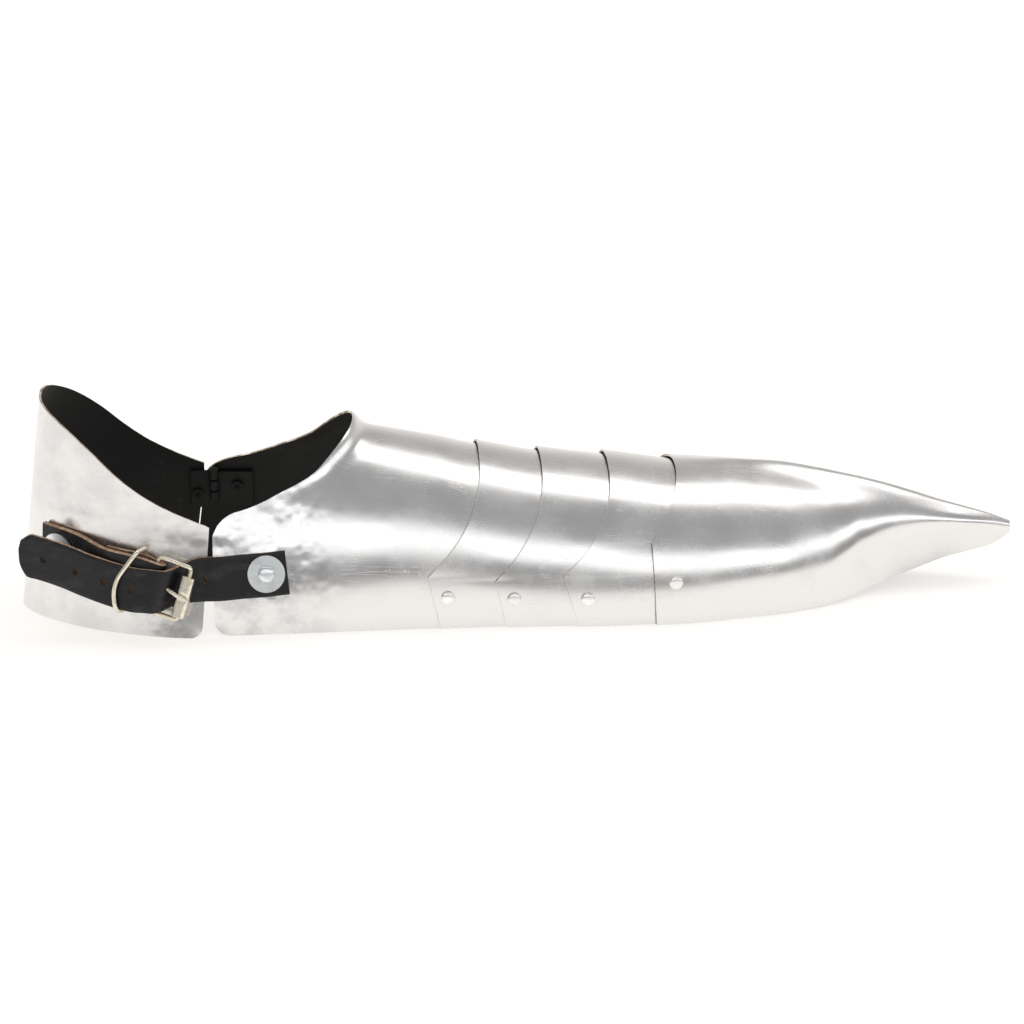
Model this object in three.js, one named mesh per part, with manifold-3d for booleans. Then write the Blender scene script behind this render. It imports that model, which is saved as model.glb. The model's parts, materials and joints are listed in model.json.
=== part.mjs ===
// A plate-armour shoe (sabaton): a vamp, three lames and a pointed toe cap that turn on side rivets,
// and a heel plate on a small hinge, closed on the other side by a strap and a roller buckle.
// Millimetres. +X runs to the toe, -Y is the buckle side, +Z is up and the plates stand on z = 0.
// While it is modelled, x = 0 is the upright split between the heel plate and the vamp.
import * as THREE from 'three';
import { mergeVertices } from 'three/addons/utils/BufferGeometryUtils.js';
import Module from 'manifold-3d';

const wasm = await Module();
wasm.setup();

// Driving dimensions
const forefoot_length = 356.5;      // split to tip
const heel_length = 85.5;           // split to the back of the heel, at the floor
const half_width = 57.5;            // outside, at the vamp's rear edge
const instep_height = 90;           // crest line carried back to the split
const sheet = 1.0;                  // steel thickness
const crest_gap = 0.9;              // air between two lames at the crest
const side_gap = 0.45;              // and at the side walls
const opening_length = 61;          // split to the top of the ankle opening
const opening_side_height = 43;     // height at which its rim leaves the upright rear edge
const corner_radius = 7;            // rounded lower corner of the vamp
const lip_rise = 4.2;               // flared lip round the ankle opening
const lip_breadth = 4.5;
const lip_start = 0.50;             // shares of the rim's rise where the lip starts and is full
const lip_full = 0.78;
const heel_height = 95;             // rim at the back
const heel_side_height = 47.5;      // rim at the split
const heel_lean = 11;               // the back leans forward this much at its rim
const heel_foot_spread = 3;         // the heel plate is this much wider than half_width at the floor
const heel_rim_inset = 8;           // and this much narrower at its rim
const heel_foot_half_width = half_width + heel_foot_spread;
const heel_rim_half_width = half_width - heel_rim_inset;
const heel_spread_height = 55;      // height at which it has drawn in
const heel_spread_power = 1.5;
const heel_foot_power = 1.7;        // roundness of its plan at the floor, 2 is an ellipse
const heel_upper_power = 2.5;       // and from heel_power_height upwards
const heel_power_height = 50;
const heel_corner = 5;              // rounded lower corners at the split
const split_gap = 1.2;              // at the top of the split
const split_slope = 0.09;           // and it opens towards the floor
const far_split_back = 4.4;         // the hinge side's split lies this far behind the buckle side's
const far_split_gap = 0.6;
const far_split_blend = 0.35;       // share of the opening's rise over which the two rims come together
const far_split_slant = 0.135;      // and runs back towards the floor
const fit = 0.3;                    // gap between pieces that touch on the real shoe
const seat = 0.6;                   // and where a flat piece lies inside a curved wall
const overlap = 11;                 // hidden lap of a lame at the crest
const lap_play = 1.5;               // a plate keeps its distance this far past the lap
const slide_play = 3.5;             // and this far behind the next plate's edge it already lies in
const cap_release = 30;             // length over which the toe cap closes in on the form
const rivet_margin = 9;             // plate beyond a pivot rivet
const keel_breadth = 8;             // half breadth of the medial ridge, or this share of a narrow section
const keel_share = 0.5;
const hollow_share = 0.962;         // the toe cap's hollow ends at this share of forefoot_length
const tip_wall_share = 0.72;        // its breadth there, as a share of the outside
const tip_stations = [0.975, 0.988, 1];
const pivot_shank = 1.5;            // radii
const pivot_head = 3.0;
const pivot_head_height = 1.7;
const pivot_tail = 2.5;
const pivot_tail_height = 0.8;
const pivot_hole_share = 0.95;      // a pivot hole's punch, as shares of half_width: its middle
const pivot_punch_share = 0.3;      // and its length
const strap_width = 19;
const strap_thickness = 2.5;
const strap_shank = 1.8;
const strap_head = 3.5;
const strap_head_height = 1.8;
const strap_punch = 24;             // length of the punch for a strap rivet's hole
const washer_radius = 8;
const washer_thickness = 1.0;
const wire_radius = 1.0;            // buckle frame and keeper
const roller_radius = 2.8;
const frame_length = 15;            // bar to bar
const frame_height = 23.4;          // between the wires' centres
const frame_round = 2.0;
const roller_slide = 1.2;           // the roller has slid this far down its wire
const roller_room = 3.4;            // what the roller is shorter than the inside of the frame
const buckle_tilt = THREE.MathUtils.degToRad(16);
const tongue_radius = 0.9;
const hole_radius = 1.5;            // strap holes
const tongue_back = 19.7;           // the hole that the tongue is in, behind the split
const tongue_slot = 5.2;            // and from the bar, along the buckle and out of it
const tongue_slot_out = 3.0;
const tongue_lift = 1.4;            // its root lies above the frame's middle line
const tongue_dip = 1.4;             // and its tip below
const bar_back = 25;                // the buckle's rear bar, behind the split
const bar_drop = 3.4;                // below the middle of the strap before it
const bar_off = 5.75;
const frame_slant = 2.0;            // the roller stands further out than the bar
const slot_length = 9;              // slot in the fold, for the tongue
const slot_height = 4;
const leaf_thickness = 1.2;         // hinge
const leaf_start = 0.6;             // a leaf starts this far past the pin's middle
const leaf_punch = 12;
const front_leaf_rivet_share = 0.58;
const front_leaf_rivet_height = 38;
const heel_leaf_rivet_share = 0.72;
const heel_leaf_rivet_height = 34;
const barrel_along = -0.8;
const leaf_bottom = 27;
const leaf_top = 45;
const leaf_length = 17;
const heel_leaf_length = 11.5;
const barrel_radius = 2.2;
const barrel_pin_radius = 1.0;
const barrel_top = 47.5;
const barrel_bottom = 31;
const knuckle_share = 1 / 3;        // of the barrel
const knuckle_gap = 0.03;
const pin_end = 0.3;                // the pin stands out of the barrel at each end
const round_sides = 10;
const ring_segments = 28;           // round a bent wire
const skirt_share = 0.2;            // part of a section's row numbers that its upright wall takes

// Rows of numbers under named columns
function table(columns, rows) {
  return rows.map((row) => Object.fromEntries(columns.map((name, k) => [name, row[k]])));
}

// The form of the foot in sections: along as a share of forefoot_length, widths of half_width,
// heights of instep_height. knee is the top of the upright wall, sole its foot, arch the roundness of
// the roof (2 is an ellipse), flare how far the foot stands outside the knee, bulge how far the roof
// swells over the knee, keel the medial ridge.
const FORM = table(['along', 'width', 'crest', 'knee', 'arch', 'sole', 'flare', 'bulge', 'keel'], [
  [-0.020, 1.002, 1.020, 0.080, 1.88, 0.000, 0.000, 0.000, 0.000],
  [0.062, 0.991, 0.956, 0.080, 1.88, 0.000, 0.000, 0.000, 0.000],
  [0.118, 0.979, 0.912, 0.085, 1.88, 0.000, 0.000, 0.000, 0.000],
  [0.171, 0.967, 0.868, 0.100, 1.95, 0.000, 0.000, 0.000, 0.000],
  [0.230, 0.953, 0.818, 0.125, 2.05, 0.000, 0.000, 0.000, 0.000],
  [0.281, 0.943, 0.776, 0.145, 2.12, 0.000, 0.000, 0.000, 0.000],
  [0.325, 0.939, 0.735, 0.156, 2.18, 0.000, 0.000, 0.000, 0.000],
  [0.404, 0.958, 0.690, 0.156, 2.20, 0.000, 0.000, 0.000, 0.000],
  [0.485, 0.982, 0.664, 0.165, 2.20, 0.000, 0.000, 0.000, 0.000],
  [0.569, 0.968, 0.631, 0.200, 2.20, 0.000, 0.000, 0.000, 0.000],
  [0.606, 0.944, 0.630, 0.205, 2.20, 0.003, 0.000, 0.000, 0.000],
  [0.656, 0.880, 0.638, 0.200, 2.20, 0.006, 0.000, 0.000, 0.006],
  [0.707, 0.788, 0.626, 0.194, 2.20, 0.009, 0.000, 0.000, 0.020],
  [0.757, 0.635, 0.588, 0.194, 2.20, 0.013, 0.004, 0.004, 0.028],
  [0.785, 0.510, 0.562, 0.218, 2.20, 0.022, 0.010, 0.014, 0.030],
  [0.808, 0.395, 0.540, 0.238, 2.20, 0.038, 0.018, 0.024, 0.030],
  [0.842, 0.275, 0.503, 0.270, 2.20, 0.068, 0.024, 0.030, 0.030],
  [0.875, 0.212, 0.461, 0.292, 2.20, 0.102, 0.022, 0.026, 0.027],
  [0.910, 0.165, 0.413, 0.299, 2.20, 0.143, 0.018, 0.020, 0.022],
  [0.943, 0.122, 0.373, 0.288, 2.20, 0.164, 0.010, 0.014, 0.017],
  [0.971, 0.078, 0.338, 0.273, 2.20, 0.182, 0.004, 0.008, 0.012],
  [0.986, 0.054, 0.316, 0.264, 2.20, 0.204, 0.002, 0.004, 0.008],
  [1.000, 0.034, 0.293, 0.256, 2.20, 0.240, 0.000, 0.002, 0.004],
]);

// The rim of the ankle opening: up as a share of its rise from opening_side_height to the crest, along
// as a share of opening_length
const OPENING = table(['up', 'along'], [
  [0.000, 0.000],
  [0.142, 0.050],
  [0.241, 0.135],
  [0.283, 0.235],
  [0.360, 0.367],
  [0.445, 0.482],
  [0.524, 0.605],
  [0.623, 0.728],
  [0.728, 0.811],
  [0.850, 0.905],
  [0.949, 0.974],
  [1.000, 1.000],
]);

// The four moving plates, as shares of forefoot_length along and instep_height up: the crest, the side
// point (vertex) and the foot of the rear edge, how the edge bends, and the pivot rivet.
const LAMES = table(['name', 'crest', 'point', 'point_up', 'foot', 'bend', 'pivot', 'pivot_up'], [
  ['lame_rear', 0.3268, 0.2575, 0.256, 0.2726, 2.0, 0.2816, 0.156],
  ['lame_middle', 0.4039, 0.3400, 0.228, 0.3526, 2.0, 0.3619, 0.142],
  ['lame_front', 0.4869, 0.4224, 0.244, 0.4407, 2.0, 0.4508, 0.138],
  ['toe_cap', 0.5722, 0.5307, 0.378, 0.5346, 1.3, 0.5582, 0.208],
]);

// The heel plate's rim: back as a share of heel_length from the split, up from side to back height
const HEEL_RIM = table(['back', 'up'], [
  [0.00, -0.045],
  [0.03, -0.010],
  [0.07, 0.016],
  [0.22, 0.125],
  [0.38, 0.270],
  [0.52, 0.440],
  [0.66, 0.640],
  [0.81, 0.823],
  [0.94, 0.950],
  [1.00, 1.000],
]);

// The holed strap: back is the distance behind the split in shares of bar_back, off its stand from the
// wall in strap thicknesses, mid its middle's height in shares of heel_side_height, slant how far its cross
// line turns to lie along the tilted buckle.
const BILLET = table(['back', 'off', 'mid', 'slant'], [
  [-1.26, 0.76, 0.581, 0.0],
  [-0.90, 0.76, 0.566, 0.0],
  [-0.48, 0.76, 0.556, 0.0],
  [-0.12, 0.92, 0.545, 0.0],
  [0.16, 0.96, 0.533, 0.2],
  [0.44, 1.08, 0.518, 0.8],
  [0.62, 1.84, 0.493, 1.0],
  [0.84, 4.40, 0.474, 1.0],
  [1.02, 4.72, 0.482, 0.8],
  [1.24, 4.64, 0.488, 0.3],
  [1.52, 4.48, 0.518, 0.0],
  [1.80, 4.32, 0.556, 0.0],
  [2.04, 4.04, 0.587, 0.0],
]);

// From its last row the free end runs on by itself, in shares of strap_width: on is back along the shoe,
// in towards its middle, rise upwards, below and above what is left of its half breadth on each side of
// the middle line
const BILLET_END = table(['on', 'in', 'rise', 'below', 'above'], [
  [0.316, 0.189, 0.089, 1.00, 1.00],
  [0.632, 0.326, 0.174, 1.00, 1.00],
  [0.947, 0.432, 0.253, 1.00, 1.00],
  [1.158, 0.480, 0.305, 1.00, 1.00],
  [1.263, 0.500, 0.330, 0.84, 1.00],
  [1.389, 0.520, 0.360, 0.44, 0.82],
  [1.480, 0.530, 0.385, -0.20, 0.62],
]);

// The empty holes, as shares of tongue_back behind the split
const EMPTY_HOLES = [0.12, 1.79, 2.33, 2.94, 3.65];

// The buckle's strap, from its rivet forward to the bar, and the fold that comes back under it: back in
// shares of heel_length, off in strap thicknesses, mid in shares of heel_side_height
const BUCKLE_STRAP = table(['back', 'off', 'mid'], [
  [0.836, 0.72, 0.749],
  [0.754, 0.72, 0.735],
  [0.702, 0.80, 0.718],
  [0.655, 1.12, 0.697],
  [0.596, 1.92, 0.665],
  [0.520, 2.88, 0.629],
  [0.444, 3.20, 0.604],
  [0.363, 3.32, 0.573],
]);
const FOLD = table(['back', 'off', 'mid'], [
  [0.363, 1.48, 0.568],
  [0.444, 1.70, 0.600],
  [0.526, 1.70, 0.632],
]);
const strap_rivet_drop = 1;         // the rivet of the buckle's strap lies below the strap's middle

// The wire loop round both straps, corner by corner from the top at the wall: back in shares of
// heel_length, up of heel_side_height, off in strap thicknesses, round in wire radii
const KEEPER = table(['back', 'up', 'off', 'round'], [
  [0.325, 0.805, 0.60, 2.6],
  [0.350, 0.800, 5.80, 5.0],
  [0.428, 0.248, 5.86, 3.6],
  [0.422, 0.262, 0.56, 2.6],
]);

const share_along = (share) => share * forefoot_length;
const share_up = (share) => share * instep_height;

// Smooth reading of a table: a cubic through the rows, with each row's slope from its neighbours
function readTable(table, key, column, at) {
  const last = table.length - 1;
  if (at <= table[0][key]) return table[0][column];
  if (at >= table[last][key]) return table[last][column];
  let row = 0;
  while (at > table[row + 1][key]) row += 1;
  const slope = (k) => {
    const before = Math.max(k - 1, 0);
    const after = Math.min(k + 1, last);
    return (table[after][column] - table[before][column]) / (table[after][key] - table[before][key]);
  };
  const span = table[row + 1][key] - table[row][key];
  const t = (at - table[row][key]) / span;
  const rise = table[row + 1][column] - table[row][column];
  const start = slope(row) * span;
  const end = slope(row + 1) * span;
  return table[row][column] + start * t + (3 * rise - 2 * start - end) * t * t
    + (start + end - 2 * rise) * t * t * t;
}

const smoothStep = (from, to, at) => THREE.MathUtils.smoothstep(at, from, to);

// A point of the foot's form: x along, row 0 at the floor to 1 at the crest, side -1 or +1
function formPoint(x, row, side) {
  const at = x / forefoot_length;
  const read = (column) => readTable(FORM, 'along', column, at);
  const width = read('width') * half_width;
  const sole = Math.max(share_up(read('sole')), 0);
  const knee = share_up(read('knee'));
  if (row < skirt_share) {
    const t = row / skirt_share;
    const flare = read('flare') * half_width * (1 - t) * (1 - t);
    return new THREE.Vector3(x, side * (width + flare), sole + (knee - sole) * t);
  }
  const keel = share_up(read('keel'));
  const ridge = Math.min(keel_breadth, keel_share * width);
  const crest = share_up(read('crest')) - keel;
  const angle = (row - skirt_share) / (1 - skirt_share) * Math.PI / 2;
  const roof_power = 2 / read('arch');
  const y = width * Math.max(Math.cos(angle), 0) ** roof_power
    + read('bulge') * half_width * Math.sin(2 * angle);
  const z = knee + (crest - knee) * Math.sin(angle) ** roof_power
    + keel * Math.exp(-((y / ridge) ** 2));
  return new THREE.Vector3(x, side * y, z);
}

// Outward normal of the form, from its neighbours along and round
function formNormal(x, row, side) {
  const step_x = 0.5;
  const low = Math.max(row - 0.004, 0);
  const high = Math.min(row + 0.004, 1);
  const along = formPoint(x + step_x, row, side).sub(formPoint(x - step_x, row, side));
  const round = formPoint(x, high, side).sub(formPoint(x, low, side));
  if (row >= 1) round.set(0, -side, 0);
  const normal = along.cross(round).normalize();
  return side < 0 ? normal : normal.negate();
}

// A closed mesh from points and triangles, turned so that its faces point out
function closedGeometry(points, triangles) {
  let volume = 0;
  for (const [a, b, c] of triangles) {
    volume += points[a].dot(new THREE.Vector3().crossVectors(points[b], points[c]));
  }
  const index = volume < 0 ? triangles.flatMap(([a, b, c]) => [a, c, b]) : triangles.flat();
  const geometry = new THREE.BufferGeometry();
  geometry.setAttribute('position', new THREE.Float32BufferAttribute(points.flatMap((p) => p.toArray()), 3));
  geometry.setIndex(index);
  return mergeVertices(geometry, 1e-5);
}

// A sheet between two grids of points of the same size, with its four edges closed
function sheetGeometry(outer, inner) {
  const rows = outer.length;
  const columns = outer[0].length;
  const points = [...outer.flat(), ...inner.flat()];
  const out = (i, j) => i * columns + j;
  const back = (i, j) => rows * columns + i * columns + j;
  const triangles = [];
  const quad = (a, b, c, d) => triangles.push([a, b, c], [a, c, d]);
  for (let i = 0; i < rows - 1; i += 1) {
    for (let j = 0; j < columns - 1; j += 1) {
      quad(out(i, j), out(i + 1, j), out(i + 1, j + 1), out(i, j + 1));
      quad(back(i, j), back(i, j + 1), back(i + 1, j + 1), back(i + 1, j));
    }
    quad(out(i, 0), back(i, 0), back(i + 1, 0), out(i + 1, 0));
    quad(out(i, columns - 1), out(i + 1, columns - 1), back(i + 1, columns - 1), back(i, columns - 1));
  }
  for (let j = 0; j < columns - 1; j += 1) {
    quad(out(0, j), out(0, j + 1), back(0, j + 1), back(0, j));
    quad(out(rows - 1, j), back(rows - 1, j), back(rows - 1, j + 1), out(rows - 1, j + 1));
  }
  return closedGeometry(points, triangles);
}

function toSolid(geometry) {
  const plain = geometry.clone();
  plain.deleteAttribute('normal');
  plain.deleteAttribute('uv');
  const merged = mergeVertices(plain, 1e-4);
  return new wasm.Manifold(new wasm.Mesh({
    numProp: 3,
    vertProperties: new Float32Array(merged.attributes.position.array),
    triVerts: new Uint32Array(merged.index.array),
  }));
}

function fromSolid(solid) {
  const mesh = solid.getMesh();
  const geometry = new THREE.BufferGeometry();
  geometry.setAttribute('position', new THREE.BufferAttribute(new Float32Array(mesh.vertProperties), 3));
  geometry.setIndex(new THREE.BufferAttribute(new Uint32Array(mesh.triVerts), 1));
  return geometry;
}

// Cuts every tool out of a geometry
function cutOut(geometry, tools) {
  let solid = toSolid(geometry);
  for (const tool of tools) solid = solid.subtract(toSolid(tool));
  return fromSolid(solid);
}

// A round bar of a length about a point, lying along a direction
function bar(centre, direction, radius, length, sides = round_sides) {
  const geometry = new THREE.CylinderGeometry(radius, radius, length, sides);
  geometry.applyQuaternion(new THREE.Quaternion().setFromUnitVectors(
    new THREE.Vector3(0, 1, 0), direction.clone().normalize()));
  geometry.translate(centre.x, centre.y, centre.z);
  return geometry;
}

// A lathed piece whose own axis starts at a point and runs along a direction
function turned(profile, start, direction, sides = round_sides) {
  const geometry = new THREE.LatheGeometry(profile.map(([r, h]) => new THREE.Vector2(r, h)), sides);
  geometry.deleteAttribute('normal');
  geometry.deleteAttribute('uv');
  geometry.applyQuaternion(new THREE.Quaternion().setFromUnitVectors(
    new THREE.Vector3(0, 1, 0), direction.clone().normalize()));
  geometry.translate(start.x, start.y, start.z);
  const merged = mergeVertices(geometry, 1e-4);
  return fromSolid(toSolid(merged));
}

// Rows of a half section: the upright wall first, then the roof
function sectionRows(skirt_rows, roof_rows, corner_row) {
  const rows = skirt_rows.map((t) => t * skirt_share);
  const low = Math.max(1, Math.round(roof_rows * 0.2));
  for (let k = 0; k < low; k += 1) {
    rows.push(skirt_share + (corner_row - skirt_share) * k / low);
  }
  const high = roof_rows - low;
  for (let k = 0; k <= high; k += 1) rows.push(corner_row + (1 - corner_row) * k / high);
  return rows;
}

// A plate's grids: both sides of the foot, one row after another over the crest
function plateGrids(rows, columns, lift, thickness, inset = 0) {
  const outer = [];
  const inner = [];
  const addRow = (row, side) => {
    const outside = [];
    const inside = [];
    for (const x of columns(row, side)) {
      const normal = formNormal(x, row, side);
      const point = formPoint(x, row, side);
      const proud = point.clone().addScaledVector(normal, lift(x, row) - inset);
      const under = proud.clone().addScaledVector(normal, -thickness);
      if (row === 0) {
        proud.z = point.z;
        under.z = point.z;
      }
      outside.push(proud);
      inside.push(under);
    }
    outer.push(outside);
    inner.push(inside);
  };
  rows.forEach((row) => addRow(row, -1));
  [...rows].reverse().slice(1).forEach((row) => addRow(row, 1));
  return [outer, inner];
}

// The row at which the form reaches a height
function rowAtHeight(x, height) {
  let low = 0;
  let high = 1;
  for (let k = 0; k < 40; k += 1) {
    const middle = (low + high) / 2;
    if (formPoint(x, middle, -1).z < height) low = middle;
    else high = middle;
  }
  return (low + high) / 2;
}

// The rear edge of a moving plate: straight from its foot to the side point, then bending to the crest
function rearEdge(lame) {
  const crest = share_along(lame.crest);
  const point = share_along(lame.point);
  const foot = share_along(lame.foot);
  const point_up = share_up(lame.point_up);
  const crest_up = formPoint(crest, 1, -1).z;
  return (height) => {
    if (height < point_up) return foot + (point - foot) * height / point_up;
    const t = Math.min((height - point_up) / (crest_up - point_up), 1);
    return point + (crest - point) * (1 - (1 - t) ** lame.bend);
  };
}

// The hidden front edge of the plate under it: upright past the rivet, then bending to the crest
function frontEdge(lame) {
  const crest = share_along(lame.crest) + overlap;
  const foot = share_along(lame.pivot) + rivet_margin;
  const knee_up = share_up(lame.pivot_up) + rivet_margin;
  const crest_up = formPoint(crest, 1, -1).z;
  return (height) => {
    if (height < knee_up) return foot;
    const t = Math.min((height - knee_up) / (crest_up - knee_up), 1);
    return foot + (crest - foot) * (1 - (1 - t) ** 2);
  };
}

// How far a moving plate's outside stands off the form: full over the plate under it, none under the next
function lameLift(index) {
  const under = frontEdge(LAMES[index]);
  const following = LAMES[index + 1];
  const next = following ? rearEdge(following) : (height) => under(height) + cap_release;
  return (x, row) => {
    const height = formPoint(x, row, -1).z;
    const full = sheet + side_gap + (crest_gap - side_gap) * row;
    return full * (1 - smoothStep(under(height) + lap_play, next(height) - slide_play, x));
  };
}

const pivots = LAMES.map((lame) => ({
  x: share_along(lame.pivot),
  z: share_up(lame.pivot_up),
}));

// Outside of a plate at a pivot, measured across the foot
function outsideAt(x, z, lift) {
  const row = rowAtHeight(x, z);
  return Math.abs(formPoint(x, row, -1).y) + lift(x, row);
}

function pivotHole(pivot, side) {
  const centre = new THREE.Vector3(pivot.x, side * half_width * pivot_hole_share, pivot.z);
  return bar(centre, new THREE.Vector3(0, 1, 0), pivot_shank + fit, half_width * pivot_punch_share);
}

const pivotHoles = (which) => which.flatMap((k) => [-1, 1].map((side) => pivotHole(pivots[k], side)));

// Vamp
const opening_rise = formPoint(opening_length, 1, -1).z - opening_side_height;

function openingEdge(row) {
  let edge = 0;
  for (let k = 0; k < 12; k += 1) {
    const up = (formPoint(edge, row, -1).z - opening_side_height) / opening_rise;
    edge = opening_length * readTable(OPENING, 'up', 'along', up);
  }
  return edge;
}

const farSplit = (height) => -far_split_back - far_split_slant * Math.max(opening_side_height - height, 0);

function vampRear(row, side) {
  const height = formPoint(0, row, -1).z;
  const up = THREE.MathUtils.clamp((height - opening_side_height) / opening_rise, 0, 1);
  const split = side < 0 ? 0 : farSplit(height) * (1 - smoothStep(0, far_split_blend, up));
  const dip = Math.max(corner_radius - height, 0) / corner_radius;
  return openingEdge(row) + split + corner_radius * (1 - Math.sqrt(1 - dip * dip));
}

function vampLift(x, row) {
  const rim = openingEdge(row);
  const up = (formPoint(rim, row, -1).z - opening_side_height) / opening_rise;
  const fade = smoothStep(lip_start, lip_full, up);
  const from_rim = x - rim;
  return lip_rise * fade * Math.exp(-((from_rim / lip_breadth) ** 2));
}

function makeVamp() {
  const front = frontEdge(LAMES[0]);
  const near_rim = [0, 0.45, 1.02, 1.78].map((share) => share * lip_breadth);
  const far_steps = 4;
  const columns = (row, side) => {
    const start = vampRear(row, side);
    const last = near_rim[near_rim.length - 1];
    let end = start + opening_length;
    for (let k = 0; k < 12; k += 1) end = front(formPoint(end, row, -1).z);
    const rest = end - start - last;
    return [
      ...near_rim.map((d) => start + d),
      ...Array.from({ length: far_steps }, (_, k) => start + last + rest * (k + 1) / far_steps),
    ];
  };
  const rows = [0, 0.07, 0.21, 0.5].map((t) => t * skirt_share);
  const corner = rowAtHeight(0, opening_side_height);
  rows.push(skirt_share, (skirt_share + corner) / 2, corner);
  for (const { up, along } of OPENING.slice(1, -1)) {
    rows.push(rowAtHeight(opening_length * along, opening_side_height + opening_rise * up));
  }
  rows.push(1);
  const [outer, inner] = plateGrids(rows, columns, vampLift, sheet);
  const holes = [...pivotHoles([0]), rivetHole(billet_rivet), leafHole(front_leaf_rivet)];
  return cutOut(sheetGeometry(outer, inner), holes);
}

// Lames
function makeLame(index) {
  const rear = rearEdge(LAMES[index]);
  const front = frontEdge(LAMES[index + 1]);
  const lift = lameLift(index);
  const steps = 5;
  const columns = (row) => {
    let start = share_along(LAMES[index].point);
    for (let k = 0; k < 12; k += 1) start = rear(formPoint(start, row, -1).z);
    let end = start + overlap;
    for (let k = 0; k < 12; k += 1) end = front(formPoint(end, row, -1).z);
    return Array.from({ length: steps + 1 }, (_, k) => start + (end - start) * k / steps);
  };
  const corner = rowAtHeight(share_along(LAMES[index].point), share_up(LAMES[index].point_up));
  const rows = sectionRows([0, 0.5], 13, corner);
  const [outer, inner] = plateGrids(rows, columns, lift, sheet);
  return cutOut(sheetGeometry(outer, inner), pivotHoles([index, index + 1]));
}

// Toe cap: the sheet runs to the tip, where the hollow ends and the metal is solid
function makeToeCap() {
  const rear = rearEdge(LAMES[3]);
  const lift = lameLift(3);
  const hollow_end = forefoot_length * hollow_share;
  const to_hollow = 12;
  const crowding = 0.93;
  const columns = (row) => {
    let start = share_along(LAMES[3].point);
    for (let k = 0; k < 12; k += 1) start = rear(formPoint(start, row, -1).z);
    const shares = Array.from({ length: to_hollow + 1 }, (_, k) => (k / to_hollow) ** crowding);
    return shares.map((share) => start + (hollow_end - start) * share);
  };
  const corner = rowAtHeight(share_along(LAMES[3].point), share_up(LAMES[3].point_up));
  const rows = sectionRows([0, 0.5], 13, corner);
  const [outer, inner] = plateGrids(rows, columns, lift, sheet);
  const tip_columns = tip_stations.map(share_along);
  const [tip] = plateGrids(rows, () => tip_columns, () => 0, sheet);
  const last_row = outer.length - 1;
  const inner_last = inner[0].length - 1;
  for (let i = 0; i <= last_row; i += 1) {
    const limit = Math.abs(outer[i][inner_last].y) * tip_wall_share;
    inner[i].forEach((point) => { point.x = Math.min(point.x, hollow_end); });
    const end = inner[i][inner_last];
    end.x = hollow_end;
    end.y = THREE.MathUtils.clamp(end.y, -limit, limit);
  }
  const points = [];
  const put = (point) => points.push(point) - 1;
  const out = outer.map((line, i) => [...line, ...tip[i]].map(put));
  const back = inner.map((line) => line.map(put));
  const triangles = [];
  const quad = (a, b, c, d) => triangles.push([a, b, c], [a, c, d]);
  const wide = out[0].length - 1;
  for (let i = 0; i < last_row; i += 1) {
    for (let j = 0; j < wide; j += 1) quad(out[i][j], out[i + 1][j], out[i + 1][j + 1], out[i][j + 1]);
    for (let j = 0; j < inner_last; j += 1) {
      quad(back[i][j], back[i][j + 1], back[i + 1][j + 1], back[i + 1][j]);
    }
    quad(out[i][0], back[i][0], back[i + 1][0], out[i + 1][0]);
  }
  for (let j = 0; j < inner_last; j += 1) {
    quad(out[0][j], out[0][j + 1], back[0][j + 1], back[0][j]);
    quad(out[last_row][j], back[last_row][j], back[last_row][j + 1], out[last_row][j + 1]);
  }
  const middle = last_row / 2;
  for (let i = 0; i < middle; i += 1) {
    const mirror = last_row - i;
    const end = (line) => back[line][inner_last];
    const tip_end = (line) => out[line][wide];
    if (i + 1 < middle) {
      quad(end(i), end(mirror), end(mirror - 1), end(i + 1));
      quad(tip_end(i), tip_end(i + 1), tip_end(mirror - 1), tip_end(mirror));
    } else {
      triangles.push([end(i), end(mirror), end(i + 1)]);
      triangles.push([tip_end(i), tip_end(i + 1), tip_end(mirror)]);
    }
  }
  for (let j = inner_last; j < wide; j += 1) {
    quad(out[0][j], out[0][j + 1], out[last_row][j + 1], out[last_row][j]);
  }
  quad(out[0][inner_last], out[last_row][inner_last], back[last_row][inner_last], back[0][inner_last]);
  return cutOut(closedGeometry(points, triangles), pivotHoles([3]));
}

// A pivot rivet: domed head outside the outer plate, shank through both, tail inside the inner one
function makePivotRivet(index, side) {
  const pivot = pivots[index];
  const outside = outsideAt(pivot.x, pivot.z, lameLift(index));
  const inner_lift = index === 0 ? () => 0 : lameLift(index - 1);
  const inside = outsideAt(pivot.x, pivot.z, inner_lift) - sheet;
  const head_from = outside + fit;
  const tail_from = inside - seat - pivot_tail_height;
  const grip = head_from - tail_from;
  const profile = [
    [0, 0],
    [pivot_tail, 0],
    [pivot_tail, pivot_tail_height],
    [pivot_shank, pivot_tail_height],
    [pivot_shank, grip],
    [pivot_head, grip],
    [pivot_head * 0.8, grip + pivot_head_height * 0.65],
    [0, grip + pivot_head_height],
  ];
  const start = new THREE.Vector3(pivot.x, side * tail_from, pivot.z);
  return turned(profile, start, new THREE.Vector3(0, side, 0), 8);
}

// Heel plate: a wall bent round the heel
function heelSize(height) {
  const spread = Math.max(1 - height / heel_spread_height, 0) ** heel_spread_power;
  const upper = Math.min(height / heel_power_height, 1);
  return {
    back: -heel_length + heel_lean * height / heel_height,
    half: heel_rim_half_width + (heel_foot_half_width - heel_rim_half_width) * spread,
    power: heel_foot_power + (heel_upper_power - heel_foot_power) * upper,
    front: -split_gap - split_slope * Math.max(heel_side_height - height, 0),
    far_front: farSplit(height) - far_split_gap,
  };
}

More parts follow.
